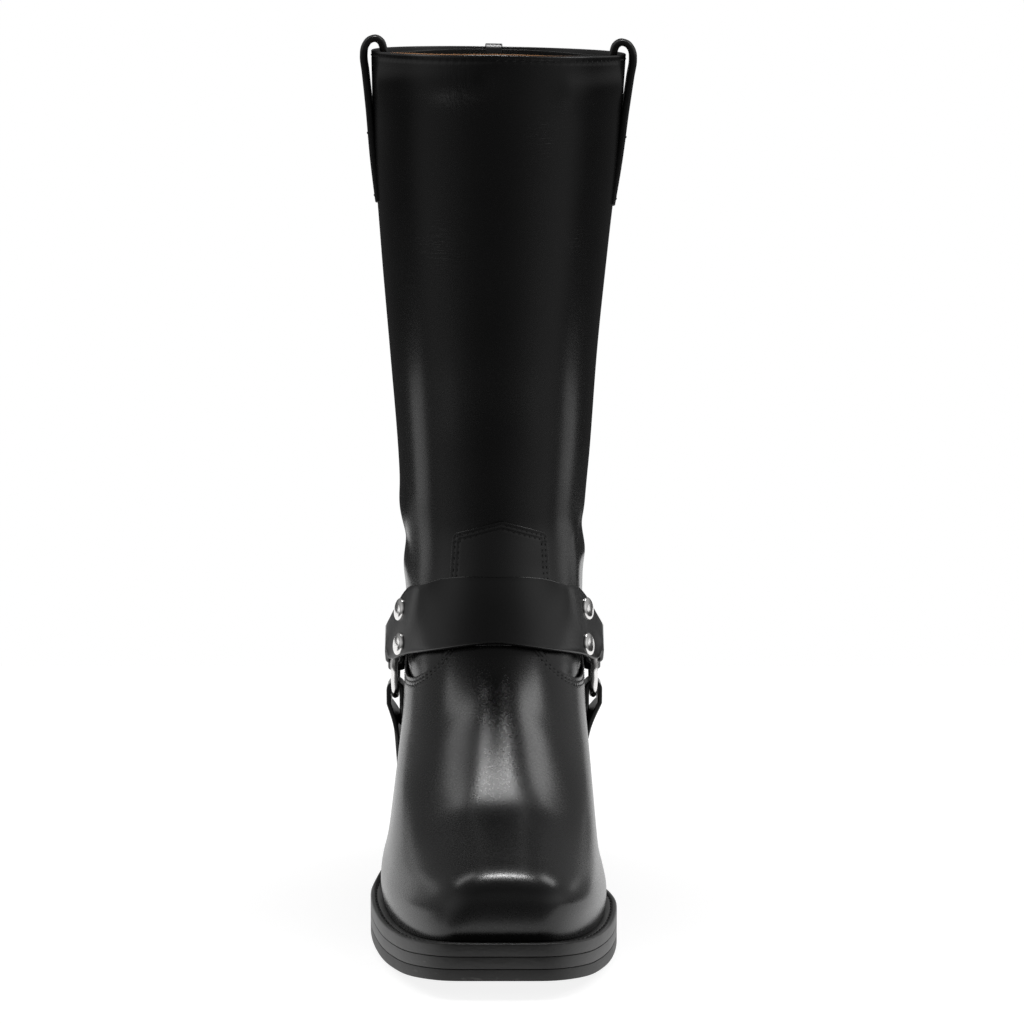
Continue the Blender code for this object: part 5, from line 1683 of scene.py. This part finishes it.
# %% Seams on the upper
THREAD = 0.62
STITCH_LENGTH = 1.9
EDGE_SINK = 0.14
TONGUE_SINK = 0.12
COLLAR_SINK = 0.16
COLLAR_THREAD = 0.8
COLLAR_STITCH_LENGTH = 2.7
STRIP_THREAD = 0.55
STRIP_SEAM = 0.62
STRIP_SEAM_RISE = 0.72
LINE_POINTS = 40
COLLAR_POINTS = 600


def on_last(u, v, offset):
    """A line on the last with its normals."""
    return last.at(u, v, offset), last.normal(u, v)


def tongue_line(inset):
    """The tongue's outline drawn in by an inset: up one side, over the point, down the other side."""
    half = TONGUE_HALF_WIDTH - inset
    corner = TONGUE_CORNER_V - inset - 0.4
    up = np.linspace(TONGUE_FOOT_V + 4.0, corner, LINE_POINTS)
    over = np.linspace(-half, half, LINE_POINTS + 1)
    top = TONGUE_TIP_V - inset * 1.03 - (TONGUE_TIP_V - TONGUE_CORNER_V) * np.abs(over) / TONGUE_HALF_WIDTH
    across = np.concatenate([np.full(LINE_POINTS, -half), over[1:-1], np.full(LINE_POINTS, half)])
    v = np.concatenate([up, top[1:-1], up[::-1]])
    return on_last(tongue_u(across, v), v, tongue_proud(v) - TONGUE_SINK)


edge_lines = []
for row in STITCH_ROWS:
    row_u, row_v = last.beside(vamp_u, vamp_edge, -row)
    edge_lines.append(on_last(row_u, row_v, -EDGE_SINK))
add_stitches("vamp_stitches", edge_lines, STITCH_PITCH, STITCH_LENGTH, THREAD, closed=True)
tongue_lines = [tongue_line(inset) for inset in TONGUE_ROWS]
add_stitches("tongue_stitches", tongue_lines, STITCH_PITCH, STITCH_LENGTH, THREAD)
collar_u = np.arange(COLLAR_POINTS) / COLLAR_POINTS
collar_line = on_last(collar_u, np.full(COLLAR_POINTS, COLLAR_V - COLLAR_STITCH), -COLLAR_SINK)
add_stitches(
    "collar_stitches", [collar_line], COLLAR_PITCH, COLLAR_STITCH_LENGTH, COLLAR_THREAD, closed=True
)


def strip_line(across):
    """A line up the back strip, a little inside one of its edges."""
    v = np.linspace(STRIP_FOOT_V + 12.0, COLLAR_V - 4.0, 300)
    u = across * STRIP_HALF_WIDTH / (2 * last.half_girth(v))
    return on_last(u, v, shaft_offset(u, v) + STRIP_SEAM_RISE)


strip_lines = [strip_line(across) for across in (-STRIP_SEAM, STRIP_SEAM)]
add_stitches("strip_stitches", strip_lines, STITCH_PITCH, STITCH_LENGTH, STRIP_THREAD)

# %% Seams on welt and pull straps
WELT_PITCH = 4.2
WELT_STITCH_LENGTH = 3.3
WELT_THREAD = 0.9
WELT_STITCH_RISE = 0.25
PULL_PITCH = 2.8
PULL_STITCH_LENGTH = 2.1
BOX_ACROSS = 0.8
BOX_LOW = -62.5
BOX_HIGH = -36.0
welt_line = sole_loop(WELT_CHANNEL, WELT_TOP - CHANNEL_DEPTH + WELT_STITCH_RISE)
upward = np.tile([0.0, 0.0, 1.0], (len(welt_line), 1))
add_stitches(
    "welt_stitches", [(welt_line, upward)], WELT_PITCH, WELT_STITCH_LENGTH, WELT_THREAD, closed=True
)


def pull_box(side):
    """A box of stitches on the sewn end of a pull strap, a little inside its edges."""
    low = [(-BOX_ACROSS, BOX_LOW), (BOX_ACROSS, BOX_LOW)]
    high = [(BOX_ACROSS, BOX_HIGH), (-BOX_ACROSS, BOX_HIGH)]
    corners = np.array([*low, *high, low[0]])
    for start, end in zip(corners[:-1], corners[1:]):
        across, rise = (start + (end - start) * np.linspace(0.0, 1.0, 30)[:, None]).T
        out = np.interp(rise, [p.rise for p in PULL_PATH[:4]], [p.out for p in PULL_PATH[:4]])
        yield on_last(pull_u(side, across), COLLAR_V + rise, out + PULL_THICKNESS / 2)


for side_name, side in SIDES:
    seams = list(pull_box(side))
    name = "pull_stitches_" + side_name
    add_stitches(name, seams, PULL_PITCH, PULL_STITCH_LENGTH, THREAD, slot="strap_leather")

# %% [markdown]
# ## Floor and light
#
# Black leather shows little but what it mirrors, so the light is built from the photograph's
# highlights. A picture of a studio could light the boot, but lamps and cards can be placed one by one.
# Soft boxes hang above and behind the boot and give the patches on the vamp and the line on the toe's
# ridge; the narrow one softens the front edge of the middle one. A white table and a low curved card
# give the pale rims near the floor, and two small cards brighten the rivets. The camera doesn't see the
# cards. A small lamp shines into the collar. The room is dim, a little lighter at its sides, which
# leaves the dark band down the shaft's front. To the camera it is white, like the photograph's
# background.

# %% Table
TABLE_FRONT = -0.21
TABLE_BACK = 0.5
TABLE_LEFT = -0.44
TABLE_RIGHT = 0.38
table_corners = [
    (TABLE_LEFT, TABLE_FRONT, 0.0),
    (TABLE_RIGHT, TABLE_FRONT, 0.0),
    (TABLE_RIGHT, TABLE_BACK, 0.0),
    (TABLE_LEFT, TABLE_BACK, 0.0),
]
table_mesh = bpy.data.meshes.new("white_table")
table_mesh.from_pydata(table_corners, [], [(0, 1, 2, 3)])
table = add_object("white_table", table_mesh)
TABLE_LOOK = {"Roughness": 0.9, "Specular IOR Level": 0.1, "Emission Strength": 0.85}
table_finish = Finish("white_table", TABLE_LOOK)
table_finish.feed("Base Color", (0.3, 0.3, 0.3, 1.0))
table_finish.feed("Emission Color", (1.0, 1.0, 1.0, 1.0))
table_mesh.materials.append(table_finish.material)

# %% White cards
CARD_RADIUS = 0.32
CARD_POINTS = 37
Card = namedtuple("Card", "name from_turn to_turn low high")
CARDS = (
    Card("white_card", 137.0, 245.0, 0.0, 0.095),
    Card("left_card", 234.0, 254.0, 0.11, 0.15),
    Card("right_card", 106.0, 126.0, 0.11, 0.15),
)


def add_card(place):
    """A curved card that the camera doesn't see: part of a tube round the boot, with turns from the toe."""
    turns = np.radians(np.linspace(place.from_turn, place.to_turn, CARD_POINTS))
    round_boot = np.stack([np.sin(turns), -np.cos(turns), 0 * turns], axis=1) * CARD_RADIUS
    points = np.concatenate([round_boot + [0.0, 0.0, place.low], round_boot + [0.0, 0.0, place.high]])
    mesh = bpy.data.meshes.new(place.name)
    mesh.from_pydata(points.tolist(), [], grid_cells(2, len(turns)).tolist())
    mesh.materials.append(table_finish.material)
    card = add_object(place.name, mesh)
    card.visible_camera = False


for place in CARDS:
    add_card(place)
print("cards:", ", ".join(place.name for place in CARDS))

# %% Soft boxes
CEILING = 1.37
SoftBox = namedtuple("SoftBox", "name left right front back brightness")
SOFT_BOXES = (
    SoftBox("middle_box", -0.20, 0.20, 0.14, 0.29, 33.0),
    SoftBox("middle_edge", -0.20, 0.20, 0.10, 0.138, 11.0),
    SoftBox("right_box", 0.55, 1.25, 0.20, 0.80, 3.4),
    SoftBox("left_box", -1.40, -0.42, 0.32, 0.70, 2.4),
)
for box in SOFT_BOXES:
    light = bpy.data.lights.new(box.name, "AREA")
    light.shape = "RECTANGLE"
    light.size = box.right - box.left
    light.size_y = box.back - box.front
    light.energy = box.brightness * np.pi * light.size * light.size_y
    lamp = add_object(box.name, light)
    lamp.location = ((box.left + box.right) / 2, (box.front + box.back) / 2, CEILING)
print("soft boxes:", ", ".join(box.name for box in SOFT_BOXES))

# %% Collar lamp
COLLAR_LAMP = Vector((0.0, -0.30, 0.80))
COLLAR_INSIDE = Vector((0.0, 0.125, 0.335))
COLLAR_LAMP_SIZE = 0.02
COLLAR_LAMP_SPREAD = 3.5
COLLAR_LAMP_POWER = 0.0026
light = bpy.data.lights.new("collar_lamp", "AREA")
light.size = COLLAR_LAMP_SIZE
light.spread = np.radians(COLLAR_LAMP_SPREAD)
light.energy = COLLAR_LAMP_POWER
lamp = add_object("collar_lamp", light)
lamp.location = COLLAR_LAMP
lamp.rotation_euler = (COLLAR_INSIDE - COLLAR_LAMP).to_track_quat("-Z", "Y").to_euler()
lamp.visible_glossy = False
print("collar lamp: %.1f mW" % (COLLAR_LAMP_POWER * 1000))

# %% Room
ROOM_BEHIND = 0.035
ROOM_FRONT = 0.035
ROOM_SIDES = 0.17
ROOM_ABOVE = 0.10
ROOM_ABOVE_SIDES = 0.32
ROOM_LEAN = 0.2


def add_room():
    """A world that is darkest low behind the boot, lighter in front, to the sides and above, and white to
    the camera."""
    world = bpy.data.worlds.new("dim_room")
    world.use_nodes = True
    room = Nodes(world.node_tree)
    world.node_tree.nodes.clear()
    ahead = room.node("ShaderNodeTexCoord", {}, {}, "Generated")
    x, y, z = (room.node("ShaderNodeSeparateXYZ", {}, {"Vector": ahead}, axis) for axis in "XYZ")
    front = room.between(y, 0.3, -0.2, kind="SMOOTHSTEP")
    above = room.between(z, -0.12, 0.25, kind="SMOOTHSTEP")
    high = room.between(z, 0.45, 0.8, 0.7, kind="SMOOTHSTEP")
    aside = x * (x + ROOM_LEAN)
    low_light = (ROOM_FRONT + aside * ROOM_SIDES) * front
    high_light = (ROOM_ABOVE + aside * ROOM_ABOVE_SIDES) * above * (1.0 - high)
    strength = ROOM_BEHIND + low_light + high_light
    dim = room.node("ShaderNodeBackground", {}, {"Color": (1.0, 1.0, 1.0, 1.0), "Strength": strength})
    white = room.node("ShaderNodeBackground", {}, {"Color": (1.0, 1.0, 1.0, 1.0), "Strength": 1.0})
    to_camera = room.node("ShaderNodeLightPath", {}, {}, "Is Camera Ray")
    seen = room.node("ShaderNodeMixShader", {}, {0: to_camera, 1: dim, 2: white})
    room.node("ShaderNodeOutputWorld", {}, {"Surface": seen}, None)
    bpy.context.scene.world = world


add_room()
bpy.context.scene.view_settings.view_transform = "Standard"
